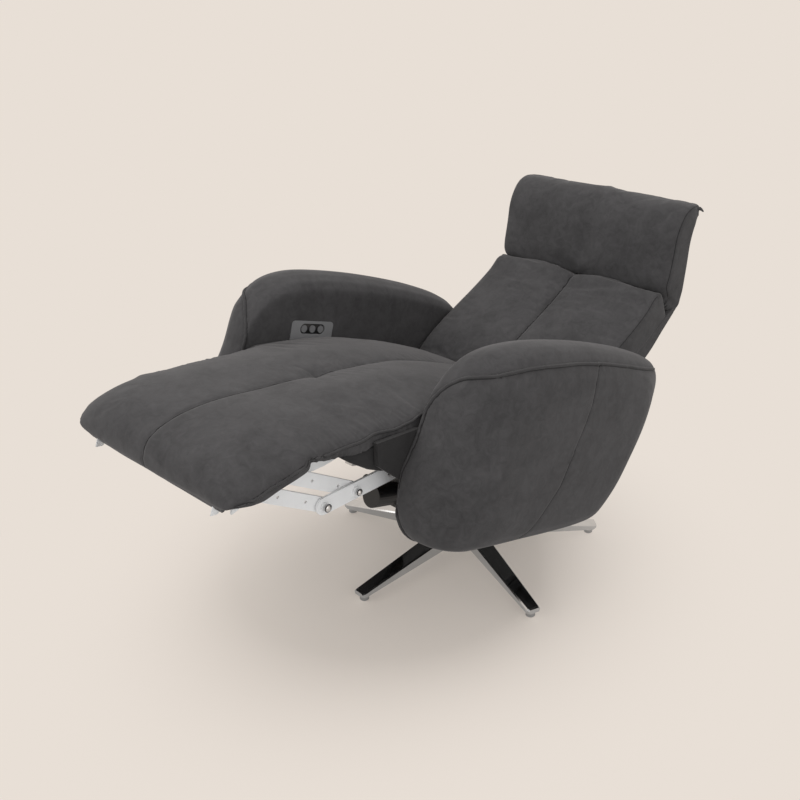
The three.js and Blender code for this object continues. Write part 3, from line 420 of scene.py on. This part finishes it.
def refine(piece):
    """Subdivide the piece's mesh smoothly."""
    modifier = piece.modifiers.new("finer", "SUBSURF")
    modifier.levels = modifier.render_levels = 1
    modifier.use_limit_surface = False
    bpy.context.view_layer.update()
    graph = bpy.context.evaluated_depsgraph_get()
    mesh = bpy.data.meshes.new_from_object(piece.evaluated_get(graph))
    old = piece.data
    piece.modifiers.clear()
    piece.data = mesh
    bpy.data.meshes.remove(old)
    mesh.name = piece.name
    mesh.polygons.foreach_set("use_smooth", [True] * len(mesh.polygons))


def points_of(piece):
    points = np.empty(len(piece.data.vertices) * 3)
    piece.data.vertices.foreach_get("co", points)
    return points.reshape(-1, 3)


def normals_of(piece):
    normals = np.empty(len(piece.data.vertices) * 3)
    piece.data.vertex_normals.foreach_get("vector", normals)
    return normals.reshape(-1, 3)


def set_points(piece, points):
    piece.data.vertices.foreach_set("co", points.ravel())
    piece.data.update()


def from_line(points, line):
    """Each point's distance from a line, and how far along it the nearest place is."""
    tree = KDTree(len(line))
    for i, p in enumerate(line):
        tree.insert(p, i)
    tree.balance()
    found = [tree.find(p)[1:] for p in points]
    return np.array([f[1] for f in found]), run_of(line)[[f[0] for f in found]]


SWELL_LIMIT = 22  # no point of a cover swells further than this
COVER_EASE = 0.004  # how much larger than its stuffing the cover is cut
STUFFING_FRAMES = 20


def stuffed(piece, held, pressure, kept):
    """The piece with its cover filled by simulation, its seams held, and the given share of the swell kept."""
    if not pressure:
        return piece
    start = points_of(piece)
    group = piece.vertex_groups.new(name="seams")
    group.add([int(i) for i in np.nonzero(held)[0]], 1.0, "REPLACE")
    cloth = piece.modifiers.new("stuffing", "CLOTH")
    settings = cloth.settings
    settings.quality = 3
    settings.mass = 0.25
    settings.tension_stiffness = settings.compression_stiffness = 22
    settings.shear_stiffness = 8
    settings.bending_stiffness = 0.35
    settings.air_damping = 3
    settings.use_pressure = True
    settings.uniform_pressure_force = pressure
    settings.effector_weights.gravity = 0
    settings.shrink_min = -COVER_EASE
    settings.vertex_group_mass = "seams"
    cloth.collision_settings.use_collision = False
    cloth.collision_settings.use_self_collision = False
    scene = bpy.context.scene
    for step in range(1, STUFFING_FRAMES + 1):
        scene.frame_set(step)
    bpy.context.view_layer.update()
    shown = piece.evaluated_get(bpy.context.evaluated_depsgraph_get())
    moved = np.empty(len(start) * 3)
    shown.data.vertices.foreach_get("co", moved)
    moved = moved.reshape(-1, 3) - start
    piece.modifiers.clear()
    piece.vertex_groups.clear()
    length = np.linalg.norm(moved, axis=1)
    limit = SWELL_LIMIT * MM
    moved *= (kept * limit * np.tanh(length / limit) / np.maximum(length, 1e-9))[:, None]
    set_points(piece, start + moved)
    scene.frame_set(1)
    return piece


def drawn_in(piece, line, depth, width):
    """Draw the piece's cover in along a seam."""
    points, normals = points_of(piece), normals_of(piece)
    distance, _ = from_line(points, stepped(line, SEAM_STEP))
    drop = depth * MM * np.exp(-(distance / (width * MM)) ** 1.3)
    set_points(piece, points - normals * drop[:, None])


def puckered(piece, line, depth, pitch, reach, seed):
    """Gathers that run off a seam at right angles, deeper here and shallower there."""
    points, normals = points_of(piece), normals_of(piece)
    distance, along = from_line(points, stepped(line, SEAM_STEP))
    wave = along / (pitch * MM)
    sway = np.sin(wave * 2.1 + seed) * 1.3 + np.sin(wave * 0.77 + seed * 2.3) * 1.7
    ridges = 0.5 + 0.5 * np.sin(2 * math.pi * wave + sway + distance / MM * 0.06)
    strength = 0.55 + 0.45 * np.sin(wave * 1.31 + seed * 1.7)
    fade = np.exp(-(distance / (reach * MM)) ** 1.4)
    clear = np.clip((distance - 4 * MM) / (6 * MM), 0, 1)
    set_points(piece, points - normals * (depth * MM * ridges * strength * fade * clear)[:, None])


def dented(piece, spot, depth, reach):
    """Press a soft hollow into the piece."""
    points, normals = points_of(piece), normals_of(piece)
    away = np.linalg.norm((points - np.array(spot)) / (np.array(reach) * MM), axis=1)
    set_points(piece, points - normals * (depth * MM * np.exp(-away ** 2))[:, None])


def laid_on(piece, line, lift=0.0):
    """The line's nearest places on the piece's surface, lifted off it, with the surface normals."""
    tree = BVHTree.FromPolygons([v.co for v in piece.data.vertices], [p.vertices for p in piece.data.polygons])
    laid, normals = [], []
    for p in stepped(line, CORD_STEP):
        spot, normal = tree.find_nearest(Vector(p))[:2]
        laid.append(spot + normal * lift * MM)
        normals.append(normal)
    return laid, normals


def circle(count):
    """Angles all round, evenly spaced."""
    return [2 * math.pi * k / count for k in range(count)]


def cord_along(name, line, radius, finish, flat=1.0, normals=None):
    """A round cord, or a flatter one, along a line, with its ends tapered."""
    line = [Vector(p) for p in line]
    rings = []
    for i, p in enumerate(line):
        ahead = (line[min(i + 1, len(line) - 1)] - line[max(i - 1, 0)]).normalized()
        normal = Vector(normals[i]) if normals is not None else Vector((0, 0, 1))
        side = ahead.cross(normal).normalized()
        lift = side.cross(ahead).normalized()
        reach = radius * MM * min(1, 0.35 + 0.65 * min(i, len(line) - 1 - i) / 2)
        rings.append([p + (side * math.cos(t) + lift * math.sin(t) * flat) * reach for t in circle(10)])
    return skin(name, rings, finish)


def sewn_together(name, pieces):
    """Several meshes as one piece."""
    form = bmesh.new()
    finishes = []
    for piece in pieces:
        slots = []
        for material in piece.data.materials:
            if material not in finishes:
                finishes.append(material)
            slots.append(finishes.index(material))
        part = piece.data.copy()
        part.transform(piece.matrix_world)
        for polygon in part.polygons:
            polygon.material_index = slots[polygon.material_index]
        form.from_mesh(part)
        bpy.data.meshes.remove(part)
    mesh = bpy.data.meshes.new(name)
    form.to_mesh(mesh)
    form.free()
    for material in finishes:
        mesh.materials.append(material)
    for piece in pieces:
        bpy.data.objects.remove(piece)
    mesh.polygons.foreach_set("use_smooth", [True] * len(mesh.polygons))
    made = bpy.data.objects.new(name, mesh)
    bpy.context.scene.collection.objects.link(made)
    return made


# Seat and leg rest, one upholstered skin with a centre seam

def make_chaise():
    """The seat cushion and leg rest pad: widths are (share of the length, half width) rows, and sections are
    (share, welt, channel, tuck, bulge, lip) rows.
    """
    under = [(-722, 290), (-728, 295), (-726, 303), (-702, 316), (-660, 339), (-601, 366), (-596, 373),
             (-560, 374), (-521, 377), (-468, 388), (-440, 401.5), (-390, 401.5), (-250, 401.5), (-100, 401.5),
             (40, 401.5), (150, 401.5)]
    over = [(-738, 290), (-748, 299), (-753, 320), (-745, 350), (-709, 379), (-655, 402), (-590, 419),
            (-520, 432), (-450, 446), (-348, 464), (-243, 480), (-156, 486), (-29, 480), (85, 463), (157, 448)]
    widths = [(0, 206), (0.004, 216), (0.01, 228), (0.02, 239), (0.035, 247), (0.06, 251), (0.14, 253),
              (0.2, 252), (0.25, 248), (0.31, 251), (0.36, 247), (0.42, 250), (0.5, 249), (1, 249)]
    sections = [(0, 0.6, 0, 0.01, 0, 0), (0.012, 0.5, 0, 0.01, 0, 0.03), (0.025, 0.3, 0, 0.01, 0, 0.1),
                (0.05, 0.19, 0.01, 0.01, 0, 0.15), (0.11, 0.14, 0.01, 0.02, 0, 0.14),
                (0.16, 0.17, 0.01, 0.02, 0, 0.11), (0.182, 0.2, 0.01, 0.02, 0, 0),
                (0.225, 0.28, 0.01, 0.02, 0.004, 0), (0.3, 0.42, 0.02, 0, 0.006, 0),
                (0.4, 0.44, 0.03, 0, 0.004, 0), (0.45, 0.6, 0.04, 0, 0.004, 0), (0.49, 0.78, 0.04, 0, 0.004, 0),
                (1, 0.8, 0.05, 0, 0.004, 0)]
    return pad("chaise", under, over, widths, sections, on_seat, (7, 20), spread=0.16, full=4.4,
               drawn=lambda u, share: 0.006 * np.abs(u) ** 12 * max(1 - share / 0.1, 0),
               plump=lambda row: 0.4 + 0.6 * np.clip((row - 0.34) / 0.1, 0, 1))


def make_back():
    base = [(4, -40), (4, 60), (4, 180), (4, 300), (4, 362)]
    crown = [(-56, -40), (-72, 0), (-82, 70), (-84, 150), (-84, 230), (-88, 300), (-98, 338), (-95, 364)]
    widths = [(0, 246), (0.1, 249), (0.8, 249), (1, 248)]
    sections = [(0, 0.8, 0.03, 0, 0, 0), (0.2, 0.84, 0.04, 0, 0.003, 0), (0.8, 0.84, 0.07, 0, 0.003, 0),
                (1, 0.84, 0.13, 0, 0, 0)]
    return pad("back_pad", base, crown, widths, sections, on_back, (14, 20), spread=0.42, full=6,
               drawn=lambda u, share: -(0.05 * np.exp(-(u / 0.2) ** 2) + 0.018 * np.abs(u) ** 3)
               * max((share - 0.75) / 0.25, 0) ** 1.5)


def make_back_shell():
    base = [(-4, -42), (-4, 100), (-4, 250), (-4, 330), (-4, 400)]
    crown = [(70, -42), (77, 30), (76, 120), (72, 200), (61, 278), (36, 345), (20, 400)]
    widths = [(0, 244), (0.1, 249), (0.9, 249), (1, 248)]
    sections = [(0, 0.6, 0, 0, 0, 0), (0.5, 0.62, 0, 0, 0.002, 0), (1, 0.7, 0, 0, 0, 0)]
    return pad("back_panel", base, crown, widths, sections, on_back, (10, 8), step=9, fill=0)


def make_headrest():
    rear = [(16, -40), (42, -24), (49, 4), (39, 46), (20, 110), (1, 165), (-4, 205), (0, 230), (12, 248)]
    front = [(-12, -40), (-18, -10), (-27, 22), (-43, 31), (-54, 42), (-60, 58), (-66, 89), (-73, 125),
             (-82, 165), (-80, 200), (-68, 231), (-42, 256), (-10, 266), (6, 263)]
    widths = [(0, 248), (0.1, 254), (0.3, 257), (0.9, 258), (1, 255)]
    sections = [(0, 0.7, 0, 0, 0, 0), (0.15, 0.88, 0.02, 0, 0.002, 0), (0.8, 0.88, 0.02, 0, 0.002, 0),
                (1, 0.8, 0, 0, 0, 0)]

    def drawn(u, share):
        """The lower corners draw in towards the pivot bar, and the upper ones droop."""
        corner = np.clip((np.abs(u) - 0.82) / 0.18, 0, 1) ** 2 * max(1 - share / 0.4, 0)
        return 0.2 * corner - 0.06 * np.abs(u) ** 6 * max((share - 0.75) / 0.25, 0)

    return pad("head_pad", rear, front, widths, sections, on_head, (16, 10), full=4.5, drawn=drawn)


# Seams

def welted(piece, path, radius):
    """The piece with a corded seam along a path: the cover drawn in, the cord laid on it, and a flat dark cord
    beneath it as painted shade in its groove.
    """
    drawn_in(piece, path, 3.4, 5.5)
    line, normals = laid_on(piece, path, radius * 0.45)
    # The flat dark cord under the piping is painted shade along both of its edges
    groove = laid_on(piece, path, 0.1)[0]
    return sewn_together(piece.name, [piece, cord_along("groove", groove, radius * 1.5, PAINTED_SHADE_CLOTH, 0.32, normals),
                                      cord_along("cord", line, radius, PIPING, 1.0, normals)])


def stitched(piece, path, depth, width, thick):
    """The piece with a plain seam along a path: the cover drawn in, and a thin dark cord along it as painted
    shade in the seam's crease.
    """
    drawn_in(piece, path, depth, width)
    line, normals = laid_on(piece, path)
    # The thin dark cord is painted shade in the crease
    return sewn_together(piece.name, [piece, cord_along("seam", line, thick, PAINTED_SHADE_CLOTH, 0.8, normals)])


# Arms, fuller at the inside and rounded off towards the outside

ARM_FRONT, ARM_REAR, ARM_FOOT, ARM_TOP = -392, 374, 200, 612
ARM_INSIDE, ARM_THICK = 262.6, 141.5
ARM_EDGE = 40  # what the insets are shares of
# Shares of the way from front to rear and from foot to top
ARM_OUTLINE = [
    (0.078, 0.026), (0.034, 0.08), (0.011, 0.185), (0.005, 0.349), (0.018, 0.44), (0.03, 0.51), (0.039, 0.583),
    (0.047, 0.694), (0.056, 0.765), (0.073, 0.815), (0.096, 0.872), (0.132, 0.925), (0.19, 0.966),
    (0.266, 0.99), (0.381, 1), (0.516, 0.998), (0.669, 0.982), (0.782, 0.96), (0.885, 0.928), (0.952, 0.885),
    (0.989, 0.815), (0.994, 0.71), (0.978, 0.572), (0.943, 0.428), (0.887, 0.243), (0.819, 0.111),
    (0.758, 0.048), (0.651, 0.024), (0.505, 0.017), (0.35, 0.017), (0.196, 0.017)]
# Share of the way outwards, then the insets of front, rear, foot and top there
ARM_INSETS = [
    (0, 0.05, 0.35, 0.2, 0.85), (0.088, 0, 0.15, 0.07, 0.4), (0.264, 0, 0.03, 0, 0.12),
    (0.406, 0.08, 0.12, 0, 0), (0.476, 0.15, 0.25, 0, 0), (0.547, 0.3, 0.4, 0.02, 0.03),
    (0.618, 0.48, 0.75, 0.04, 0.07), (0.653, 0.6, 0.95, 0.05, 0.1), (0.759, 1.0, 1.7, 0.15, 0.28),
    (0.9, 1.85, 2.7, 0.5, 0.8), (0.971, 2.6, 3.4, 0.95, 1.45), (1, 3.1, 4.0, 1.5, 2.1)]
ARM_PIPING = [
    (300, -291, 196), (290, -315, 190), (280, -344, 210), (270, -372, 249), (262, -379, 284), (262, -384, 341),
    (263, -377, 381), (262, -365, 420), (262, -361, 440), (274, -356, 486), (308, -336, 526), (354, -300, 548),
    (378, -276, 563), (392, -255, 574), (398, -224, 582), (396, -130, 584), (390, -50, 584), (390, 79, 581),
    (387, 200, 573), (380, 245, 570), (374, 276, 568), (371, 300, 566)]
ARM_PANEL_SEAM = [
    (390, 5, 579), (401, -11, 545), (405, -12, 500), (406, -23, 459), (407, -36, 422), (407, -49, 377),
    (406, -62, 333), (405, -95, 286), (399, -129, 243), (394, -150, 222)]


def make_arm(side):
    outline = smooth_line(ARM_OUTLINE, 300, closed=True)
    shares, *insets = np.array(ARM_INSETS).T
    rings = []
    for across in np.concatenate([np.linspace(0, 0.9, 24), np.linspace(0.915, 1, 8)]):
        front, rear, bottom, top = (ARM_EDGE * np.interp(across, shares, inset) for inset in insets)
        y0, y1, z0, z1 = ARM_FRONT + front, ARM_REAR - rear, ARM_FOOT + bottom, ARM_TOP - top
        x = side * (ARM_INSIDE + ARM_THICK * across)
        rings.append(np.array([(x, y0 + (y1 - y0) * a, z0 + (z1 - z0) * r) for a, r in outline]))

    def filled(ring, out):
        centre = ring.mean(axis=0)
        shares = np.linspace(1, 0.08, 12)[1:]
        return [centre + (ring - centre) * s + np.array([out * (1 - s * s), 0, 0]) for s in shares]

    rings = filled(rings[0], 0)[::-1] + rings + filled(rings[-1], side * 3)
    return skin("arm", [[on_seat(*p) for p in ring] for ring in rings], SUEDE)


def dress_arm(side, name, node):
    arm = make_arm(side)
    refine(arm)
    panel_seam = laid_on(arm, [on_seat(side * x, y, z) for x, y, z in ARM_PANEL_SEAM])[0]
    arm = stitched(arm, panel_seam, 1.6, 3.5, 0.7)
    piece = welted(arm, smooth_line([on_seat(side * x, y, z) for x, y, z in ARM_PIPING], 420), 3.2)
    piece.name = name
    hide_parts(node)
    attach(piece, "seat_unit")


# The pads on their bodies

SEAT_DIMPLE = (0, -385, 455)
DIMPLE_FOLDS = [(-42, -14), (44, 10), (-30, 22), (26, -24)]  # where the folds from the dimple run to
GATHERED = (0.2, 0.47)  # share of the chaise's length at whose edges the cover is gathered
SKIRT = [(-532, 378), (-505, 366), (-458, 350), (-425, 344), (-395, 344), (-392, 396), (-440, 396), (-475, 388)]
SKIRT_INSIDE, SKIRT_OUTSIDE = 226, 249


def dress_seat():
    chaise, lines = make_chaise()
    refine(chaise)
    dimple = on_seat(*SEAT_DIMPLE)
    dented(chaise, dimple, 6, (18, 26, 16))
    for x, y in DIMPLE_FOLDS:
        tip = on_seat(x, SEAT_DIMPLE[1] + y, SEAT_DIMPLE[2])
        drawn_in(chaise, laid_on(chaise, [dimple, tip])[0], 1.6, 4)
    chaise = stitched(chaise, lines["middle"], 2.4, 3.2, 0.9)
    skirts = []
    for side, x, seed in (("left", 1, 1), ("right", -1, 4)):
        line = lines[side]
        first, last = (int(len(line) * share) for share in GATHERED)
        puckered(chaise, line[first:last], 4.2, 12, 24, seed)
        chaise = welted(chaise, line[int(len(line) * 0.02):], 2.4)
        # The skirts under the chaise's sides are in the dark cloth, as painted shade under its overhang
        skirts.append(slab("skirt", SKIRT, x * SKIRT_INSIDE, x * SKIRT_OUTSIDE, PAINTED_SHADE_CLOTH, 3))
    chaise = sewn_together("chaise", [chaise, *skirts])
    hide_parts("seat_cushion", "legrest_pad")
    on_seat(0, -385, 400)
    on_seat(0, -505, 385)
    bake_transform(chaise)


def dress_back():
    back, lines = make_back()
    refine(back)
    back = stitched(back, lines["middle"], 4.5, 4, 1.2)
    for side in ("left", "right"):
        back = stitched(back, lines[side], 2.4, 4, 1.0)
    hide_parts("back_cushion")
    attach(back, "backrest")
    shell, _ = make_back_shell()
    refine(shell)
    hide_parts("back_shell")
    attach(shell, "backrest")


EAR = [(248, -24, 246), (254, -8, 251), (257, 3, 251), (260, 10, 248)]  # tip of the seam at the upper corner


def dress_headrest():
    head, lines = make_headrest()
    refine(head)
    for side, across in (("left", 1), ("right", -1)):
        head = stitched(head, lines[side], 2.6, 4.5, 1.1)
        ear = smooth_line([on_head(across * x, y, z) for x, y, z in EAR], 6)
        head = sewn_together("head_pad", [head, cord_along("ear", ear, 4.6, SUEDE)])
    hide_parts("headrest_cushion")
    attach(head, "headrest")


# Rigid pieces of the frame keep their CAD shape and get their real finish and soft edges, except the side
# boards, whose dark cloth is painted shade

# Starts of the nodes' names, their finish, and the width of their edges' rounding
NODE_FINISHES = [
    (("star_base", "pedestal_column"), CHROME, 1.6),
    (("foot_glide",), SILVER, 0.8),
    (("lift_link", "lower_bar", "upper_bar", "legrest_flange"), WHITE, 0.4),
    (("link_bumper",), RUBBER, 1.0),
    # The side boards' dark cloth is painted shade under the chaise and arms
    (("side_board",), PAINTED_SHADE_CLOTH, 2.5),
    (("seat_deck", "legrest_board", "back_frame", "headrest_core"), WOOD, 0.6),
    (("seat_webbing",), WEBBING, 0),
    (("legrest_actuator_motor", "back_actuator_motor"), BLACK, 1.2),
    (("legrest_actuator_gearbox", "back_actuator_gearbox"), BLACK, 1.2),
    (("legrest_actuator", "back_actuator"), BRIGHT, 0.5),
    (("control_plate",), PLATE, 0.8),
    (("retaining_washer", "headrest_bar"), SILVER, 0.6),
    (("button_",), GREY_BUTTON, 0.6),
    (("",), DARK, 0.6),
]


def finish_nodes():
    for name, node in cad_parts.items():
        finish, edge = next((f, e) for starts, f, e in NODE_FINISHES if name.startswith(starts))
        for slot in node.material_slots:
            slot.link = "OBJECT"
            slot.material = finish
        if edge:
            soft = node.modifiers.new("soft edges", "BEVEL")
            soft.width, soft.segments, soft.limit_method = edge * MM, 2, "ANGLE"
            soft.angle_limit = math.radians(40)


def turned_piece(name, side, spot, outline, finish, size=1.0):
    """A round piece on an axis across the chair: (reach outwards, radius) rows from its spot."""
    x, y, z = spot
    rings = [[on_seat(side * (x + out), y + radius * size * math.cos(t), z + radius * size * math.sin(t))
              for t in circle(28)] for out, radius in outline]
    return skin(name, rings, finish)


def slab(name, outline, x0, x1, finish, edge):
    """A flat piece across the chair between x0 and x1, with eased edges, from its outline in the side view."""
    points = np.array(outline, float)
    centre = points.mean(axis=0)
    away = points - centre
    length = np.linalg.norm(away, axis=1)[:, None]
    rings = []
    for x, cut in ((x0, edge), (x0 + edge, 0), (x1 - edge, 0), (x1, edge)):
        rings.append([on_seat(x, *p) for p in centre + away * (length - cut) / length])
    return skin(name, rings, finish)


RIVETS = [(-513, 274, 1), (-440.6, 295.9, 0.84)]  # the lift link's two, and the second one's smaller size
RIVET_FACE = 222.8
RIVET_WASHER = [(-0.2, 8), (0.6, 8), (0.8, 7.7), (0.8, 4)]
RIVET_DOME = [(0.6, 6.6), (1.6, 6.6), (1.9, 5.9), (2.6, 5.3), (3.4, 4.2), (3.9, 2.8), (4.2, 1.1)]
TAB = [(-731, 271), (-730, 298), (-708, 300), (-708, 288), (-718, 273)]
TAB_INSIDE, TAB_OUTSIDE = 176, 178.4
FIELD_MIDDLE, FIELD_RUN, FIELD_ROUND = (-173, 486), 25, 11.6
FIELD_FACE = -262.15


def dress_metal():
    """Rivet caps of the linkage, the tabs under the leg rest's front edge, and the plate's dark field."""
    for side, word in ((1, "left"), (-1, "right")):
        caps = []
        for y, z, size in RIVETS:
            spot = (RIVET_FACE, y, z)
            caps.append(turned_piece("washer", side, spot, RIVET_WASHER, DARK, size))
            caps.append(turned_piece("dome", side, spot, RIVET_DOME, BRIGHT, size))
        piece = sewn_together("rivet_caps_" + word, caps)
        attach(piece, "leg_links")
        tab = slab("front_tab_" + word, TAB, side * TAB_INSIDE, side * TAB_OUTSIDE, WHITE, 0.3)
        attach(tab, "legrest")
    y, z = FIELD_MIDDLE
    outline = []
    for t in circle(40):
        end = math.copysign(FIELD_RUN, math.cos(t))
        outline.append((y + end + FIELD_ROUND * math.cos(t), z + FIELD_ROUND * math.sin(t)))
    field = slab("plate_field", outline, FIELD_FACE - 0.35, FIELD_FACE, BLACK, 0.1)
    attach(field, "seat_unit")


# Floor, background and lamps

BACKDROP = (0.807, 0.738, 0.672)
FLOOR_TONE = (0.62, 0.615, 0.61)  # what the floor casts back on the chair
FLOOR_REACH, FLOOR_DROP = 60, 0.0002
SHADE = 0.75  # how much of the floor's real shading shows under the chair
WORLD_LIGHT = 0.74


def ray_kind(finish, *kinds):
    """A share that is 1 for the given kinds of rays."""
    path = finish.tree.nodes.new("ShaderNodeLightPath")
    first, *others = (Amount(finish, path.outputs[f"Is {kind} Ray"]) for kind in kinds)
    for other in others:
        first = first + other
    return first.held()


def make_stage():
    f = Finish("pale floor")
    tone = f.colour(ray_kind(f, "Camera"), FLOOR_TONE, BACKDROP)
    plain = f.node("ShaderNodeBsdfDiffuse", {}, {"Color": tone})
    shown = f.node("ShaderNodeEmission", {}, {"Color": (*BACKDROP, 1), "Strength": 1.0})
    around = f.node("ShaderNodeMapping", {}, {"Vector": f.place(), "Location": (0.1, 0.05, 0)})
    near = f.node("ShaderNodeTexGradient", {"gradient_type": "SPHERICAL"}, {"Vector": around}, "Fac")
    share = ray_kind(f, "Camera", "Glossy", "Transmission") * (1 - SHADE * ((near * 1.6).held() ** 2))
    mixed = f.node("ShaderNodeMixShader", {}, {0: share, 1: plain, 2: shown})
    f.node("ShaderNodeOutputMaterial", {}, {"Surface": mixed})
    corners = [(x * FLOOR_REACH, y * FLOOR_REACH, -FLOOR_DROP) for x, y in ((-1, -1), (1, -1), (1, 1), (-1, 1))]
    floor = new_piece("floor", corners, [(0, 1, 2, 3)], f.material)

    world = bpy.data.worlds.new("studio")
    bpy.context.scene.world = world
    world.use_nodes = True
    w = Finish("studio", world.node_tree)
    lit = w.node("ShaderNodeBackground", {}, {"Color": (1, 0.99, 0.985, 1), "Strength": WORLD_LIGHT})
    shown = w.node("ShaderNodeBackground", {}, {"Color": (*BACKDROP, 1), "Strength": 1.0})
    mixed = w.node("ShaderNodeMixShader", {}, {0: ray_kind(w, "Camera", "Glossy"), 1: lit, 2: shown})
    w.node("ShaderNodeOutputWorld", {}, {"Surface": mixed})


def add_lamp(name, spot, aim, size, power):
    data = bpy.data.lights.new(name, "AREA")
    data.shape = "RECTANGLE"
    data.size, data.size_y = size
    data.energy = power
    lamp = bpy.data.objects.new(name, data)
    lamp.location = spot
    lamp.rotation_euler = (Vector(aim) - Vector(spot)).to_track_quat("-Z", "Y").to_euler()
    bpy.context.scene.collection.objects.link(lamp)


place_camera()
make_stage()
add_lamp("overhead", (-0.2, 0.1, 3.2), (0, 0, 0.4), (3.2, 3.2), 30)
add_lamp("front", (-1.2, -3.0, 2.2), (0, 0, 0.5), (2.4, 2.0), 22)
add_lamp("near_side", (2.8, -1.4, 1.6), (0, 0, 0.5), (2.2, 1.8), 16)
bpy.context.scene.view_settings.view_transform = "Standard"

finish_nodes()
dress_seat()
dress_back()
dress_headrest()
dress_arm(1, "arm_cover_left", "left_arm")
dress_arm(-1, "arm_cover_right", "right_arm")
dress_metal()
